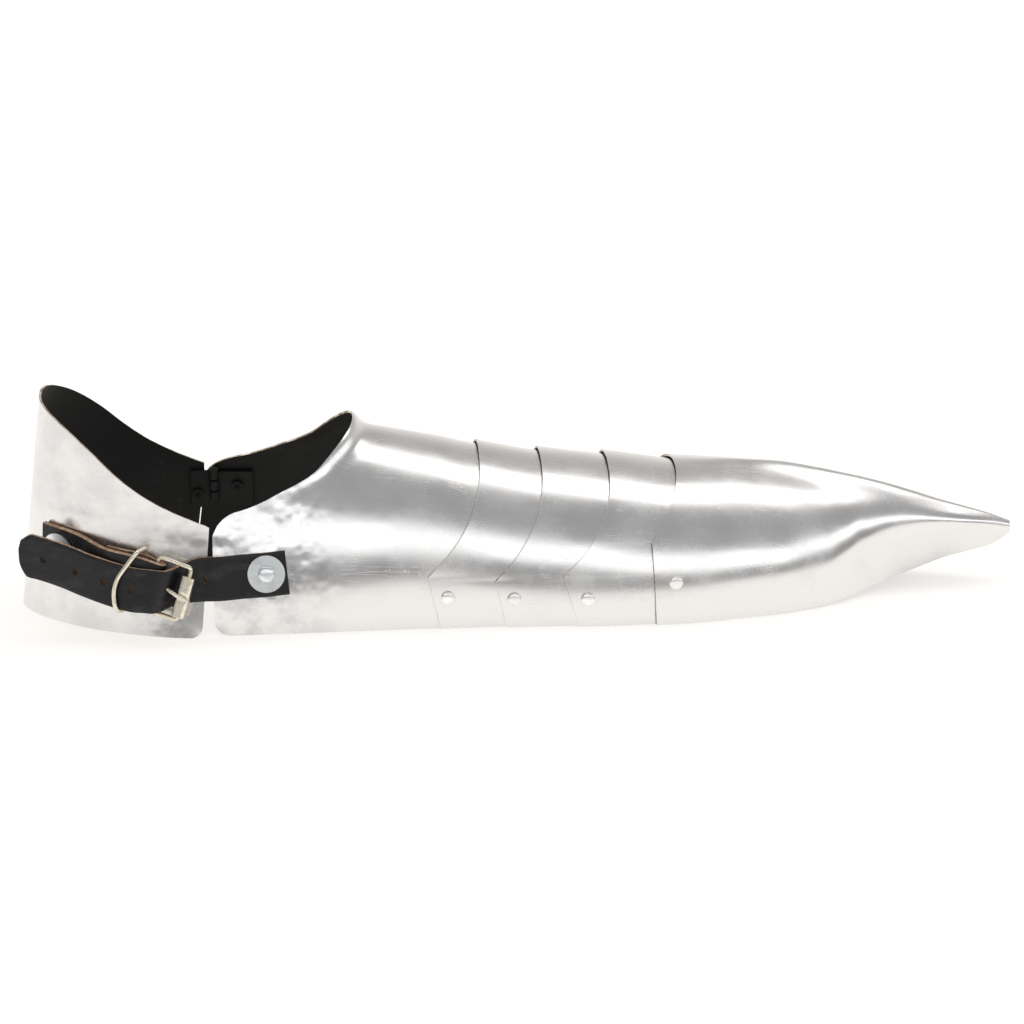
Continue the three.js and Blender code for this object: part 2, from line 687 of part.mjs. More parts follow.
// A point of the heel's outside: turn runs from 0 at the buckle side's front over 0.5 at the back to 1
function heelPoint(turn, height, trim = 0) {
  const size = heelSize(height);
  const depth = -size.back;
  const shareAt = (front) => THREE.MathUtils.clamp((trim - front) / depth, 0, 1);
  const angleAt = (front) => Math.asin(shareAt(front) ** (size.power / 2));
  const start = angleAt(size.front);
  const angle = start + (Math.PI - start - angleAt(size.far_front)) * turn;
  const side = Math.cos(angle);
  return new THREE.Vector3(
    -depth * Math.sin(angle) ** (2 / size.power),
    -Math.sign(side) * size.half * Math.abs(side) ** (2 / size.power),
    height,
  );
}

function heelNormal(turn, height) {
  const step = 0.004;
  const low = Math.max(turn - step, 0);
  const high = Math.min(turn + step, 1);
  const round = heelPoint(high, height).sub(heelPoint(low, height));
  const up = heelPoint(turn, height + 0.5).sub(heelPoint(turn, Math.max(height - 0.5, 0)));
  return up.cross(round).normalize();
}

function heelRim(turn) {
  let height = heel_side_height;
  for (let k = 0; k < 12; k += 1) {
    const back = -heelPoint(turn, height).x / -heelSize(height).back;
    height = heel_side_height + (heel_height - heel_side_height) * readTable(HEEL_RIM, 'back', 'up', back);
  }
  return height;
}

function makeHeelPlate() {
  const turns = [0, 0.02, 0.05, 0.09, 0.14, 0.19, 0.24, 0.29, 0.335, 0.375, 0.41, 0.44, 0.47, 0.5];
  const all_turns = [...turns, ...[...turns].reverse().slice(1).map((turn) => 1 - turn)];
  const levels = [0.16, 0.3, 0.45, 0.6, 0.75, 0.88, 1];
  const outer = [];
  const inner = [];
  for (const turn of all_turns) {
    const top = heelRim(turn);
    const outside = [];
    const inside = [];
    const above = levels.map((level) => heel_corner + (top - heel_corner) * level);
    const heights = [0, 0.24 * heel_corner, heel_corner, ...above];
    for (const height of heights) {
      const dip = Math.max(heel_corner - height, 0) / heel_corner;
      const trim = heel_corner * (1 - Math.sqrt(1 - dip * dip));
      const point = heelPoint(turn, height, trim);
      const normal = heelNormal(turn, height);
      const under = point.clone().addScaledVector(normal, -sheet);
      if (height === 0) under.z = 0;
      outside.push(point);
      inside.push(under);
    }
    outer.push(outside);
    inner.push(inside);
  }
  return cutOut(sheetGeometry(outer, inner), [rivetHole(heel_rivet), leafHole(heel_leaf_rivet)]);
}

// Straps follow the wall that they lie on
function turnAtBack(back, height) {
  let low = 0;
  let high = 0.5;
  for (let k = 0; k < 40; k += 1) {
    const middle = (low + high) / 2;
    if (-heelPoint(middle, height).x < back) low = middle;
    else high = middle;
  }
  return (low + high) / 2;
}

// Point and outward normal of the buckle side's wall at a distance behind the split
function wallFrame(back, height) {
  if (back < 0) {
    const row = rowAtHeight(-back, height);
    return { point: formPoint(-back, row, -1), normal: formNormal(-back, row, -1) };
  }
  const reach = -heelSize(height).front + 0.5;
  const turn = turnAtBack(Math.max(back, reach), height);
  const point = heelPoint(turn, height);
  if (back < reach) point.x = -back;
  return { point, normal: heelNormal(turn, height) };
}

// A flat ribbon of leather: stations with a middle, an outward direction and what is left of the breadth
// below and above the middle
function ribbon(stations, thickness) {
  const outer = [];
  const inner = [];
  stations.forEach((station, k) => {
    const before = stations[Math.max(k - 1, 0)].middle;
    const after = stations[Math.min(k + 1, stations.length - 1)].middle;
    const along = station.along ?? after.clone().sub(before).normalize();
    const upright = new THREE.Vector3().crossVectors(along, station.out).normalize();
    if (upright.z < 0) upright.negate();
    if (station.slant) upright.lerp(buckle.upright, station.slant).normalize();
    const out = new THREE.Vector3().crossVectors(upright, along).normalize();
    if (out.dot(station.out) < 0) out.negate();
    const half = strap_width / 2;
    const below = station.below ?? 1;
    const above = station.above ?? 1;
    const corner = (up, off) => station.middle.clone()
      .addScaledVector(upright, up * half)
      .addScaledVector(out, off * thickness / 2);
    outer.push([corner(-below, 1), corner(above, 1)]);
    inner.push([corner(-below, -1), corner(above, -1)]);
  });
  return sheetGeometry(outer, inner);
}

function strapStations(rows, reach) {
  return rows.map((row) => {
    const back = row.back * reach;
    const off = row.off * strap_thickness;
    const height = row.mid * heel_side_height;
    const lean = wallFrame(back, height).normal.z;
    const wall = wallFrame(back, height - off * lean);
    return {
      middle: wall.point.clone().addScaledVector(wall.normal, off),
      out: wall.normal,
      slant: row.slant ?? 0,
    };
  });
}

function billetStations() {
  const stations = strapStations(BILLET, bar_back);
  const last = stations[stations.length - 1];
  for (const end of BILLET_END) {
    const run = new THREE.Vector3(-end.on, end.in, end.rise).multiplyScalar(strap_width);
    const middle = last.middle.clone().add(run);
    stations.push({ middle, out: last.out, below: end.below, above: end.above });
  }
  return stations;
}

// Buckle: its frame turns about the bar that the strap folds round
function buckleFrame() {
  const end = BUCKLE_STRAP[BUCKLE_STRAP.length - 1];
  const wall = wallFrame(bar_back, end.mid * heel_side_height - bar_drop);
  const out = wall.normal;
  const level = new THREE.Vector3(0, 0, 1).cross(out).normalize();
  if (level.x < 0) level.negate();
  const up = new THREE.Vector3().crossVectors(out, level).normalize();
  const along = level.clone().multiplyScalar(Math.cos(buckle_tilt))
    .addScaledVector(up, -Math.sin(buckle_tilt));
  const upright = up.clone().multiplyScalar(Math.cos(buckle_tilt))
    .addScaledVector(level, Math.sin(buckle_tilt));
  const bar_centre = wall.point.clone().addScaledVector(out, bar_off);
  return { out, along, upright, bar_centre };
}

const billet = billetStations();
const buckle = buckleFrame();
const billet_rivet = wallFrame(BILLET[1].back * bar_back, BILLET[1].mid * heel_side_height);
const heel_rivet = wallFrame(
  BUCKLE_STRAP[1].back * heel_length,
  BUCKLE_STRAP[1].mid * heel_side_height - strap_rivet_drop,
);

const onBuckle = (along, out, up) => buckle.bar_centre.clone()
  .addScaledVector(buckle.along, along)
  .addScaledVector(buckle.out, out)
  .addScaledVector(buckle.upright, up);

const rivetHole = (place) => bar(place.point, place.normal, strap_shank + fit, strap_punch);

function billetPlace(back) {
  const curve = new THREE.CatmullRomCurve3(billet.map((station) => station.middle));
  let low = 0;
  let high = 1;
  for (let k = 0; k < 30; k += 1) {
    const middle = (low + high) / 2;
    if (-curve.getPoint(middle).x < back) low = middle;
    else high = middle;
  }
  const along = curve.getTangent(low);
  return { point: curve.getPoint(low), out: new THREE.Vector3(-along.y, along.x, 0).normalize() };
}

// The tongue's line: a hook round the bar, then out through the strap and over the roller
function tongueLine() {
  const ring = wire_radius + fit + tongue_radius;
  const rest = roller_radius + fit * 0.5 + tongue_radius;
  return [
    onBuckle(ring * 0.25, -ring, tongue_lift),
    onBuckle(-ring * 0.75, -ring * 0.7, tongue_lift),
    onBuckle(-ring, 0.1, tongue_lift),
    onBuckle(-ring * 0.6, ring * 0.85, tongue_lift),
    onBuckle(ring * 0.4, ring, tongue_lift),
    onBuckle(tongue_slot, tongue_slot_out, tongue_lift * 0.5),
    onBuckle(frame_length - 3.2, frame_slant + rest - 0.9, -tongue_dip * 0.6),
    onBuckle(frame_length, frame_slant + rest, -tongue_dip),
    onBuckle(frame_length + 3, frame_slant + rest - 0.3, -tongue_dip - 0.6),
  ];
}

function rod(line, radius, sides, steps) {
  const circle = new THREE.Shape(Array.from({ length: sides }, (_, k) => {
    const angle = 2 * Math.PI * k / sides;
    return new THREE.Vector2(radius * Math.cos(angle), radius * Math.sin(angle));
  }));
  const geometry = new THREE.ExtrudeGeometry(circle, {
    steps,
    bevelEnabled: false,
    extrudePath: new THREE.CatmullRomCurve3(line),
  });
  return fromSolid(toSolid(geometry));
}

function makeBillet() {
  const holes = EMPTY_HOLES.map((share) => {
    const { point, out } = billetPlace(share * tongue_back);
    return bar(point, out, hole_radius, strap_thickness * 2.4, 8);
  });
  const slot = rod(tongueLine().slice(4), tongue_radius + fit * 1.3, 8, 8);
  return cutOut(ribbon(billet, strap_thickness), [rivetHole(billet_rivet), ...holes, slot]);
}

// The buckle's strap: out to the bar, half a turn round it, and back under itself
function makeBuckleStrap() {
  const stations = strapStations(BUCKLE_STRAP, heel_length);
  const turn_radius = wire_radius + fit + strap_thickness / 2;
  const turn_steps = 6;
  for (let k = 0; k <= turn_steps; k += 1) {
    const angle = Math.PI / 2 - Math.PI * k / turn_steps;
    const out = buckle.along.clone().multiplyScalar(Math.cos(angle))
      .addScaledVector(buckle.out, Math.sin(angle));
    stations.push({
      middle: onBuckle(turn_radius * Math.cos(angle), turn_radius * Math.sin(angle), 0),
      along: new THREE.Vector3().crossVectors(out, buckle.upright),
      out,
    });
  }
  for (const row of FOLD) {
    const wall = wallFrame(row.back * heel_length, row.mid * heel_side_height);
    const middle = wall.point.clone().addScaledVector(wall.normal, row.off * strap_thickness);
    stations.push({ middle, out: wall.normal.clone().negate() });
  }
  const slot = new THREE.BoxGeometry(slot_length, slot_length, slot_height);
  const across = new THREE.Vector3().crossVectors(buckle.along, buckle.out);
  slot.applyMatrix4(new THREE.Matrix4().makeBasis(buckle.along, buckle.out, across));
  slot.translate(...onBuckle(0, 0, tongue_lift).toArray());
  return cutOut(ribbon(stations, strap_thickness), [rivetHole(heel_rivet), slot]);
}

// A closed ring of wire through corners, each rounded by its own length
function wireRing(corners, rounds, radius, segments) {
  const path = new THREE.CurvePath();
  const count = corners.length;
  const near = (from, to, round) => from.clone().addScaledVector(to.clone().sub(from).normalize(), round);
  for (let k = 0; k < count; k += 1) {
    const here = corners[k];
    const next = corners[(k + 1) % count];
    const after = corners[(k + 2) % count];
    const round = rounds[(k + 1) % count];
    const arrive = near(next, here, round);
    const leave = near(next, after, round);
    path.add(new THREE.LineCurve3(near(here, next, rounds[k]), arrive));
    path.add(new THREE.QuadraticBezierCurve3(arrive, next, leave));
  }
  const tube = new THREE.TubeGeometry(path, segments, radius, 6, true);
  return fromSolid(toSolid(tube));
}

function makeBuckleFrame() {
  const half = frame_height / 2;
  return wireRing([
    onBuckle(0, 0, half),
    onBuckle(frame_length, frame_slant, half),
    onBuckle(frame_length, frame_slant, -half),
    onBuckle(0, 0, -half),
  ], Array(4).fill(frame_round), wire_radius, ring_segments);
}

function makeRoller() {
  const bore = wire_radius + fit;
  const length = frame_height - 2 * wire_radius - roller_room;
  const profile = [
    [bore, 0],
    [roller_radius, 0],
    [roller_radius, length],
    [bore, length],
    [bore, 0],
  ];
  const start = onBuckle(frame_length, frame_slant, -length / 2 - roller_slide);
  return turned(profile, start, buckle.upright);
}

function makeKeeper() {
  const corners = KEEPER.map((row) => {
    const wall = wallFrame(row.back * heel_length, row.up * heel_side_height);
    return wall.point.clone().addScaledVector(wall.normal, row.off * strap_thickness);
  });
  return wireRing(corners, KEEPER.map((row) => row.round * wire_radius), wire_radius, ring_segments);
}

// A strap's rivet, from inside the plate to outside its washer
function strapStack(off) {
  const leather_top = (off + 0.5) * strap_thickness;
  return {
    tail_from: -sheet - seat - pivot_tail_height,
    washer_from: leather_top + fit,
    head_from: leather_top + fit + washer_thickness + fit,
  };
}

function makeWasher(place, off) {
  const { washer_from } = strapStack(off);
  const bore = strap_shank + fit;
  const profile = [
    [bore, 0],
    [washer_radius, 0],
    [washer_radius, washer_thickness],
    [bore, washer_thickness],
    [bore, 0],
  ];
  const start = place.point.clone().addScaledVector(place.normal, washer_from);
  return turned(profile, start, place.normal, 18);
}

function makeStrapRivet(place, off) {
  const { tail_from, head_from } = strapStack(off);
  const grip = head_from - tail_from;
  const profile = [
    [0, 0],
    [pivot_head, 0],
    [pivot_head, pivot_tail_height],
    [strap_shank, pivot_tail_height],
    [strap_shank, grip],
    [strap_head, grip],
    [strap_head * 0.94, grip + strap_head_height * 0.4],
    [strap_head * 0.62, grip + strap_head_height * 0.85],
    [0, grip + strap_head_height],
  ];
  const start = place.point.clone().addScaledVector(place.normal, tail_from);
  return turned(profile, start, place.normal);
}

// Hinge: a leaf inside each plate on the far side, with knuckles round a pin in the split
function hingeAxis(height) {
  const row = rowAtHeight(0, height);
  const wall = formPoint(0, row, 1);
  const normal = formNormal(0, row, 1);
  return wall.addScaledVector(normal, -sheet - seat - barrel_radius).setX(barrel_along);
}

function knuckle(from, to) {
  const foot = hingeAxis(barrel_bottom);
  const top = hingeAxis(barrel_top);
  const direction = top.clone().sub(foot).normalize();
  const length = top.distanceTo(foot);
  const start = foot.clone().addScaledVector(direction, length * from);
  const bore = barrel_pin_radius + fit * 0.7;
  const tall = length * (to - from);
  const profile = [
    [bore, 0],
    [barrel_radius, 0],
    [barrel_radius, tall],
    [bore, tall],
    [bore, 0],
  ];
  return turned(profile, start, direction);
}

function knuckleSpace(from, to) {
  const foot = hingeAxis(barrel_bottom);
  const top = hingeAxis(barrel_top);
  const direction = top.clone().sub(foot);
  const centre = foot.clone().addScaledVector(direction, (from + to) / 2);
  return bar(centre, direction, barrel_radius + fit, direction.length() * (to - from) + 2 * fit);
}

function pinSpace() {
  const foot = hingeAxis(barrel_bottom);
  const top = hingeAxis(barrel_top);
  const direction = top.clone().sub(foot);
  return bar(foot.clone().add(top).multiplyScalar(0.5), direction,
    barrel_pin_radius + fit * 0.7, direction.length() * 1.5);
}

function frontLeafPlace(x, height) {
  const row = rowAtHeight(x, height);
  return { point: formPoint(x, row, 1), normal: formNormal(x, row, 1) };
}

function heelLeafPlace(back, height) {
  const reach = -heelSize(height).far_front + 0.5;
  const turn = turnAtBack(Math.max(back, reach), height);
  const point = heelPoint(turn, height);
  const normal = heelNormal(turn, height);
  if (back < reach) point.x = -back;
  point.y *= -1;
  normal.y *= -1;
  return { point, normal };
}

function leaf(place, stations) {
  const outer = [];
  const inner = [];
  const rows = 3;
  for (let i = 0; i <= rows; i += 1) {
    const height = leaf_bottom + (leaf_top - leaf_bottom) * i / rows;
    const places = stations.map((at) => place(at, height));
    outer.push(places.map((p) => p.point.clone().addScaledVector(p.normal, -sheet - seat)));
    inner.push(places.map((p) => p.point.clone().addScaledVector(p.normal, -sheet - seat - leaf_thickness)));
  }
  return sheetGeometry(outer, inner);
}

const front_leaf_rivet = frontLeafPlace(leaf_length * front_leaf_rivet_share, front_leaf_rivet_height);
const heel_leaf_rivet = heelLeafPlace(heel_leaf_length * heel_leaf_rivet_share, heel_leaf_rivet_height);
const leafHole = (place) => bar(place.point, place.normal, pivot_shank + fit, leaf_punch);

function makeFrontLeaf() {
  const stations = [barrel_along + leaf_start, ...[0.235, 0.47, 0.7, 1].map((share) => share * leaf_length)];
  const upper = 1 - knuckle_share;
  return fromSolid(toSolid(leaf(frontLeafPlace, stations))
    .add(toSolid(knuckle(knuckle_share, upper)))
    .subtract(toSolid(knuckleSpace(-knuckle_share, knuckle_share)))
    .subtract(toSolid(knuckleSpace(upper, upper + 2 * knuckle_share)))
    .subtract(toSolid(pinSpace()))
    .subtract(toSolid(leafHole(front_leaf_rivet))));
}

function makeHeelLeaf() {
  const stations = [-barrel_along + leaf_start, 0.52 * heel_leaf_length, heel_leaf_length];
  const upper = 1 - knuckle_share;
  return fromSolid(toSolid(leaf(heelLeafPlace, stations))
    .add(toSolid(knuckle(0, knuckle_share - knuckle_gap)))
    .add(toSolid(knuckle(upper + knuckle_gap, 1)))
    .subtract(toSolid(knuckleSpace(knuckle_share, upper)))
    .subtract(toSolid(pinSpace()))
    .subtract(toSolid(leafHole(heel_leaf_rivet))));
}

function makeHingePin() {
  const foot = hingeAxis(barrel_bottom);
  const top = hingeAxis(barrel_top);
  const direction = top.clone().sub(foot);
  const centre = foot.clone().add(top).multiplyScalar(0.5);
  return bar(centre, direction, barrel_pin_radius, direction.length() + 2 * pin_end);
}

// A rivet through a plate and the hinge leaf inside it
function makeLeafRivet(place) {
  const tail_from = -sheet - seat - leaf_thickness - seat - pivot_tail_height;
  const grip = fit - tail_from;
  const profile = [
    [0, 0],
    [pivot_tail, 0],
    [pivot_tail, pivot_tail_height],
    [pivot_shank, pivot_tail_height],
    [pivot_shank, grip],
    [pivot_tail, grip],
    [pivot_tail * 0.7, grip + pivot_tail_height],
    [0, grip + pivot_tail_height],
  ];
  return turned(profile, place.point.clone().addScaledVector(place.normal, tail_from), place.normal, 10);
}

// Materials
const steel = () => new THREE.MeshStandardMaterial({ color: 0xc9c5c2, roughness: 0.28, metalness: 1.0 });
const zinc = () => new THREE.MeshStandardMaterial({ color: 0xbfc2c2, roughness: 0.42, metalness: 1.0 });
const nickel = () => new THREE.MeshStandardMaterial({ color: 0xcfc5a8, roughness: 0.3, metalness: 1.0 });
const leather = () => new THREE.MeshStandardMaterial({ color: 0x1d1c1d, roughness: 0.6, metalness: 0.0 });
const blackened = () => new THREE.MeshStandardMaterial({ color: 0x141414, roughness: 0.7, metalness: 0.3 });

const shoe = new THREE.Group();

function add(name, geometry, material, group = shoe) {
  const mesh = new THREE.Mesh(geometry, material);
  mesh.name = name;
  group.add(mesh);
  return mesh;
}

const heel = new THREE.Group();
const forefoot = new THREE.Group();
shoe.add(heel, forefoot);

add('heel_plate', makeHeelPlate(), steel(), heel);
add('vamp', makeVamp(), steel(), forefoot);
LAMES.forEach((lame, index) => {
  const plate = new THREE.Group();
  forefoot.add(plate);
  add(lame.name, index < 3 ? makeLame(index) : makeToeCap(), steel(), plate);
  add(`${lame.name}_rivet_near`, makePivotRivet(index, -1), zinc(), plate);
  add(`${lame.name}_rivet_far`, makePivotRivet(index, 1), zinc(), plate);
});
add('billet_strap', makeBillet(), leather(), forefoot);
add('billet_washer', makeWasher(billet_rivet, BILLET[1].off), zinc(), forefoot);
add('billet_rivet', makeStrapRivet(billet_rivet, BILLET[1].off), zinc(), forefoot);
add('buckle_strap', makeBuckleStrap(), leather(), heel);
add('buckle_strap_washer', makeWasher(heel_rivet, BUCKLE_STRAP[1].off), zinc(), heel);
add('buckle_strap_rivet', makeStrapRivet(heel_rivet, BUCKLE_STRAP[1].off), zinc(), heel);
add('buckle_frame', makeBuckleFrame(), nickel(), heel);
add('buckle_roller', makeRoller(), nickel(), heel);
add('buckle_tongue', rod(tongueLine(), tongue_radius, 6, 18), nickel(), heel);
add('keeper_loop', makeKeeper(), nickel(), heel);
add('hinge_leaf_front', makeFrontLeaf(), blackened(), forefoot);
add('hinge_leaf_heel', makeHeelLeaf(), blackened(), heel);
add('hinge_pin', makeHingePin(), blackened(), heel);
add('hinge_rivet_front', makeLeafRivet(front_leaf_rivet), zinc(), forefoot);
add('hinge_rivet_heel', makeLeafRivet(heel_leaf_rivet), zinc(), heel);

// The origin is the middle of the shoe's box, on the floor
const box = new THREE.Box3().setFromObject(shoe, true);
const middle = box.getCenter(new THREE.Vector3());
shoe.position.set(-middle.x, -middle.y, -box.min.z);
shoe.updateMatrixWorld(true);

export default shoe;
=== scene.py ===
# %% [markdown]
# # A steel sabaton
# A sabaton is the armoured shoe of a suit of plate. This one is made of six plates of bright steel: a heel
# plate, a vamp over the instep, three lames that slide over each other as the foot bends, and a pointed toe
# cap. A strap with a roller buckle closes the heel plate on one side and a small hinge holds it on the other.
# The construction is fixed already, so this lesson dresses it: fine smooth plates, straps, wire and rivets
# that sit exactly where the frame says, and a finish for each of them.

# %% The fixed frame
import json
import math
from contextlib import contextmanager

import bmesh
import bpy
import numpy as np
from mathutils import Matrix, Vector


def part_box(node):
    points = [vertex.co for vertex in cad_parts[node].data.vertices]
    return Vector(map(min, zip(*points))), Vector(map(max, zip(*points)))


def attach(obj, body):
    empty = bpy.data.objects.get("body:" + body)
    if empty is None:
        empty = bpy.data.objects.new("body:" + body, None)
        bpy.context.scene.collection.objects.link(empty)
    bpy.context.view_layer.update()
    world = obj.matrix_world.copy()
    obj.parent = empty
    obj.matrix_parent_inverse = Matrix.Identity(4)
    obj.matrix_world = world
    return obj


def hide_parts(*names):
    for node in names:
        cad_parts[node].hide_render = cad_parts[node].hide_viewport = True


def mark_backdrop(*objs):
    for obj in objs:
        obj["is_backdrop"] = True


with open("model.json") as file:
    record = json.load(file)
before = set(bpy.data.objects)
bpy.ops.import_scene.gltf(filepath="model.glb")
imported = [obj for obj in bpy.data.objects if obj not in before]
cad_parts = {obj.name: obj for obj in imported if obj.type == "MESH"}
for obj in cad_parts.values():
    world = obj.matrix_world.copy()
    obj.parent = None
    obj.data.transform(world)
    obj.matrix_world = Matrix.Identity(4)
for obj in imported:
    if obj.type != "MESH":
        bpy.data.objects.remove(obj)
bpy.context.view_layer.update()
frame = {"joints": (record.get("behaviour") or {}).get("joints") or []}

# %% [markdown]
# ## The form of the foot
# An armourer shapes all the plates over one form, so that they nest. Here too there is one form: a table of
# sections from the ankle to the tip, each with an upright wall, a rounded roof and, towards the toe, a
# medial ridge. A plate is a patch of that form, and its lift says how far it stands off. The lengths are
# millimetres with x = 0 at the split between heel plate and vamp, and one shift brings them to the frame.

# %% Sizes
MM = 0.001
forefoot_length = 356.5
heel_length = 85.5
half_width = 57.5
instep_height = 90.0
sheet = 1.0
fit = 0.3
seat = 0.6
skirt_share = 0.2
ridge_breadth = 7.0
toe_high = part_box("toe_cap")[1]
shift = np.array([toe_high.x / MM - forefoot_length, frame["joints"][0]["pos_m"][1] / MM, 0.0])
print("shift from the form to the frame, mm:", shift.round(2))

# %% The table of sections, as shares of the sizes
FORM_COLUMNS = ("along", "width", "crest", "knee", "arch", "sole", "flare", "bulge", "keel")
FORM = np.array([
    (-.020, 1.002, 1.020, .080, 1.88, .000, .000, .000, .000),
    (.062, .991, .956, .080, 1.88, .000, .000, .000, .000),
    (.118, .979, .912, .085, 1.88, .000, .000, .000, .000),
    (.171, .967, .868, .100, 1.95, .000, .000, .000, .000),
    (.230, .953, .818, .120, 2.05, .000, .000, .000, .000),
    (.281, .943, .776, .122, 2.05, .000, .000, .000, .000),
    (.325, .939, .735, .115, 2.02, .000, .000, .000, .000),
    (.404, .958, .690, .105, 1.98, .000, .000, .000, .000),
    (.485, .982, .664, .105, 1.96, .000, .000, .000, .000),
    (.569, .968, .631, .125, 1.95, .000, .000, .000, .000),
    (.606, .944, .630, .140, 1.92, .003, .000, .000, .004),
    (.656, .880, .638, .155, 1.88, .006, .000, .000, .014),
    (.707, .788, .626, .172, 1.82, .009, .000, .000, .030),
    (.757, .635, .588, .188, 1.75, .013, .004, .004, .036),
    (.785, .510, .562, .218, 1.72, .022, .010, .014, .038),
    (.808, .395, .540, .238, 1.75, .038, .018, .024, .038),
    (.842, .275, .503, .270, 1.80, .068, .024, .030, .036),
    (.875, .212, .461, .292, 1.90, .102, .022, .026, .032),
    (.910, .165, .413, .299, 2.00, .143, .018, .020, .026),
    (.943, .122, .373, .288, 2.10, .164, .010, .014, .019),
    (.971, .078, .338, .273, 2.20, .182, .004, .008, .012),
    (.986, .054, .316, .264, 2.20, .204, .002, .004, .008),
    (1.000, .034, .293, .256, 2.20, .240, .000, .002, .004),
])


def read_table(keys, values, at):
    """A smooth curve through the rows of a table: each row's slope comes from its neighbours."""
    keys, values = np.asarray(keys, float), np.asarray(values, float)
    count = len(keys)
    before = np.maximum(np.arange(count) - 1, 0)
    after = np.minimum(np.arange(count) + 1, count - 1)
    slopes = (values[after] - values[before]) / (keys[after] - keys[before])
    at = np.clip(at, keys[0], keys[-1])
    row = np.clip(np.searchsorted(keys, at, side="right") - 1, 0, count - 2)
    span = keys[row + 1] - keys[row]
    t = (at - keys[row]) / span
    rise = values[row + 1] - values[row]
    start, end = slopes[row] * span, slopes[row + 1] * span
    return values[row] + start * t + (3 * rise - 2 * start - end) * t ** 2 + (start + end - 2 * rise) * t ** 3


def form_column(name, x):
    return read_table(FORM[:, 0], FORM[:, FORM_COLUMNS.index(name)], x / forefoot_length)


def form_point(x, row, side):
    """A point of the form: row 0 is the floor, skirt_share the top of the upright wall, 1 the crest."""
    x, row, side = np.broadcast_arrays(np.asarray(x, float), row, side)
    width = form_column("width", x) * half_width
    sole = np.maximum(form_column("sole", x) * instep_height, 0)
    knee = form_column("knee", x) * instep_height
    keel = form_column("keel", x) * instep_height
    crest = form_column("crest", x) * instep_height - keel
    t = row / skirt_share
    wall_y = width + form_column("flare", x) * half_width * (1 - t) ** 2
    wall_z = sole + (knee - sole) * t
    angle = np.clip((row - skirt_share) / (1 - skirt_share), 0, 1) * np.pi / 2
    power = 2 / form_column("arch", x)
    roof_y = width * np.maximum(np.cos(angle), 0) ** power
    roof_y = roof_y + form_column("bulge", x) * half_width * np.sin(2 * angle)
    roof_z = knee + (crest - knee) * np.sin(angle) ** power
    roof_z = roof_z + keel * np.exp(-(roof_y / np.minimum(ridge_breadth, .5 * width)) ** 2)
    low = row < skirt_share
    return np.stack([x, side * np.where(low, wall_y, roof_y), np.where(low, wall_z, roof_z)], -1)


def unit(vectors):
    return vectors / np.linalg.norm(vectors, axis=-1, keepdims=True)


def form_normal(x, row, side):
    x, row, side = np.broadcast_arrays(np.asarray(x, float), np.asarray(row, float), np.asarray(side, float))
    along = form_point(x + .5, row, side) - form_point(x - .5, row, side)
    high, low = np.minimum(row + .004, 1), np.maximum(row - .004, 0)
    around = form_point(x, high, side) - form_point(x, low, side)
    straight_over = np.stack([0 * x, -side, 0 * x], -1)
    around = np.where((row >= 1)[..., None], straight_over, around)
    return unit(np.cross(along, around)) * -side[..., None]


def height_of(x, row):
    return form_point(x, row, -1)[..., 2]


def row_at_height(x, height):
    low, high = 0.0 * np.asarray(x, float), 0.0 * np.asarray(x, float) + 1
    for _ in range(40):
        middle = (low + high) / 2
        under = height_of(x, middle) < height
        low, high = np.where(under, middle, low), np.where(under, high, middle)
    return (low + high) / 2


def smooth_step(start, end, at):
    t = np.clip((at - start) / (end - start), 0, 1)
    return t * t * (3 - 2 * t)


print("instep height at the split, mm:", round(float(height_of(0, 1)), 1))

# %% [markdown]
# ## Finishes
# Polished steel is a mirror with a memory: it shows the light around it, broken by the lines of the last
# polishing wheel, by fine scratches and by specks where it has been rubbed. One node group makes those
# brushing lines and another the wear, and each metal uses them with its own values. They only put out
# masks, and each material turns masks into roughness, colour and bump on its own shader.

# %% A small kit for writing node trees


def add_node(tree, kind, values=None, **settings):
    """Adds a node, sets its properties by keyword, and sets or links its inputs from a dictionary."""
    node = tree.nodes.new(kind)
    for key, value in settings.items():
        setattr(node, key, value)
    for key, value in (values or {}).items():
        if isinstance(value, bpy.types.NodeSocket):
            tree.links.new(value, node.inputs[key])
        else:
            node.inputs[key].default_value = value
    return node


def calculate(tree, operation, first, second=0.0):
    return add_node(tree, "ShaderNodeMath", {0: first, 1: second}, operation=operation).outputs[0]


def times(tree, value, factor):
    return calculate(tree, "MULTIPLY", value, factor)


def add_up(tree, *values):
    total = values[0]
    for value in values[1:]:
        total = calculate(tree, "ADD", total, value)
    return total


def parts_of(tree, vector):
    return add_node(tree, "ShaderNodeSeparateXYZ", {0: vector}).outputs


def spread(tree, value, low, high, new_low=0.0, new_high=1.0):
    """Maps a value from one span to another, smoothly and clamped."""
    sockets = {"Value": value, "From Min": low, "From Max": high, "To Min": new_low, "To Max": new_high}
    return add_node(tree, "ShaderNodeMapRange", sockets, interpolation_type="SMOOTHSTEP").outputs[0]


def stretched(tree, vector, scale, turn=(0, 0, 0)):
    sockets = {"Vector": vector, "Scale": scale, "Rotation": turn}
    return add_node(tree, "ShaderNodeMapping", sockets).outputs[0]


def noise(tree, vector, scale, detail=2.0, roughness=0.5):
    sockets = {"Vector": vector, "Scale": scale, "Detail": detail, "Roughness": roughness}
    return add_node(tree, "ShaderNodeTexNoise", sockets).outputs["Fac"]


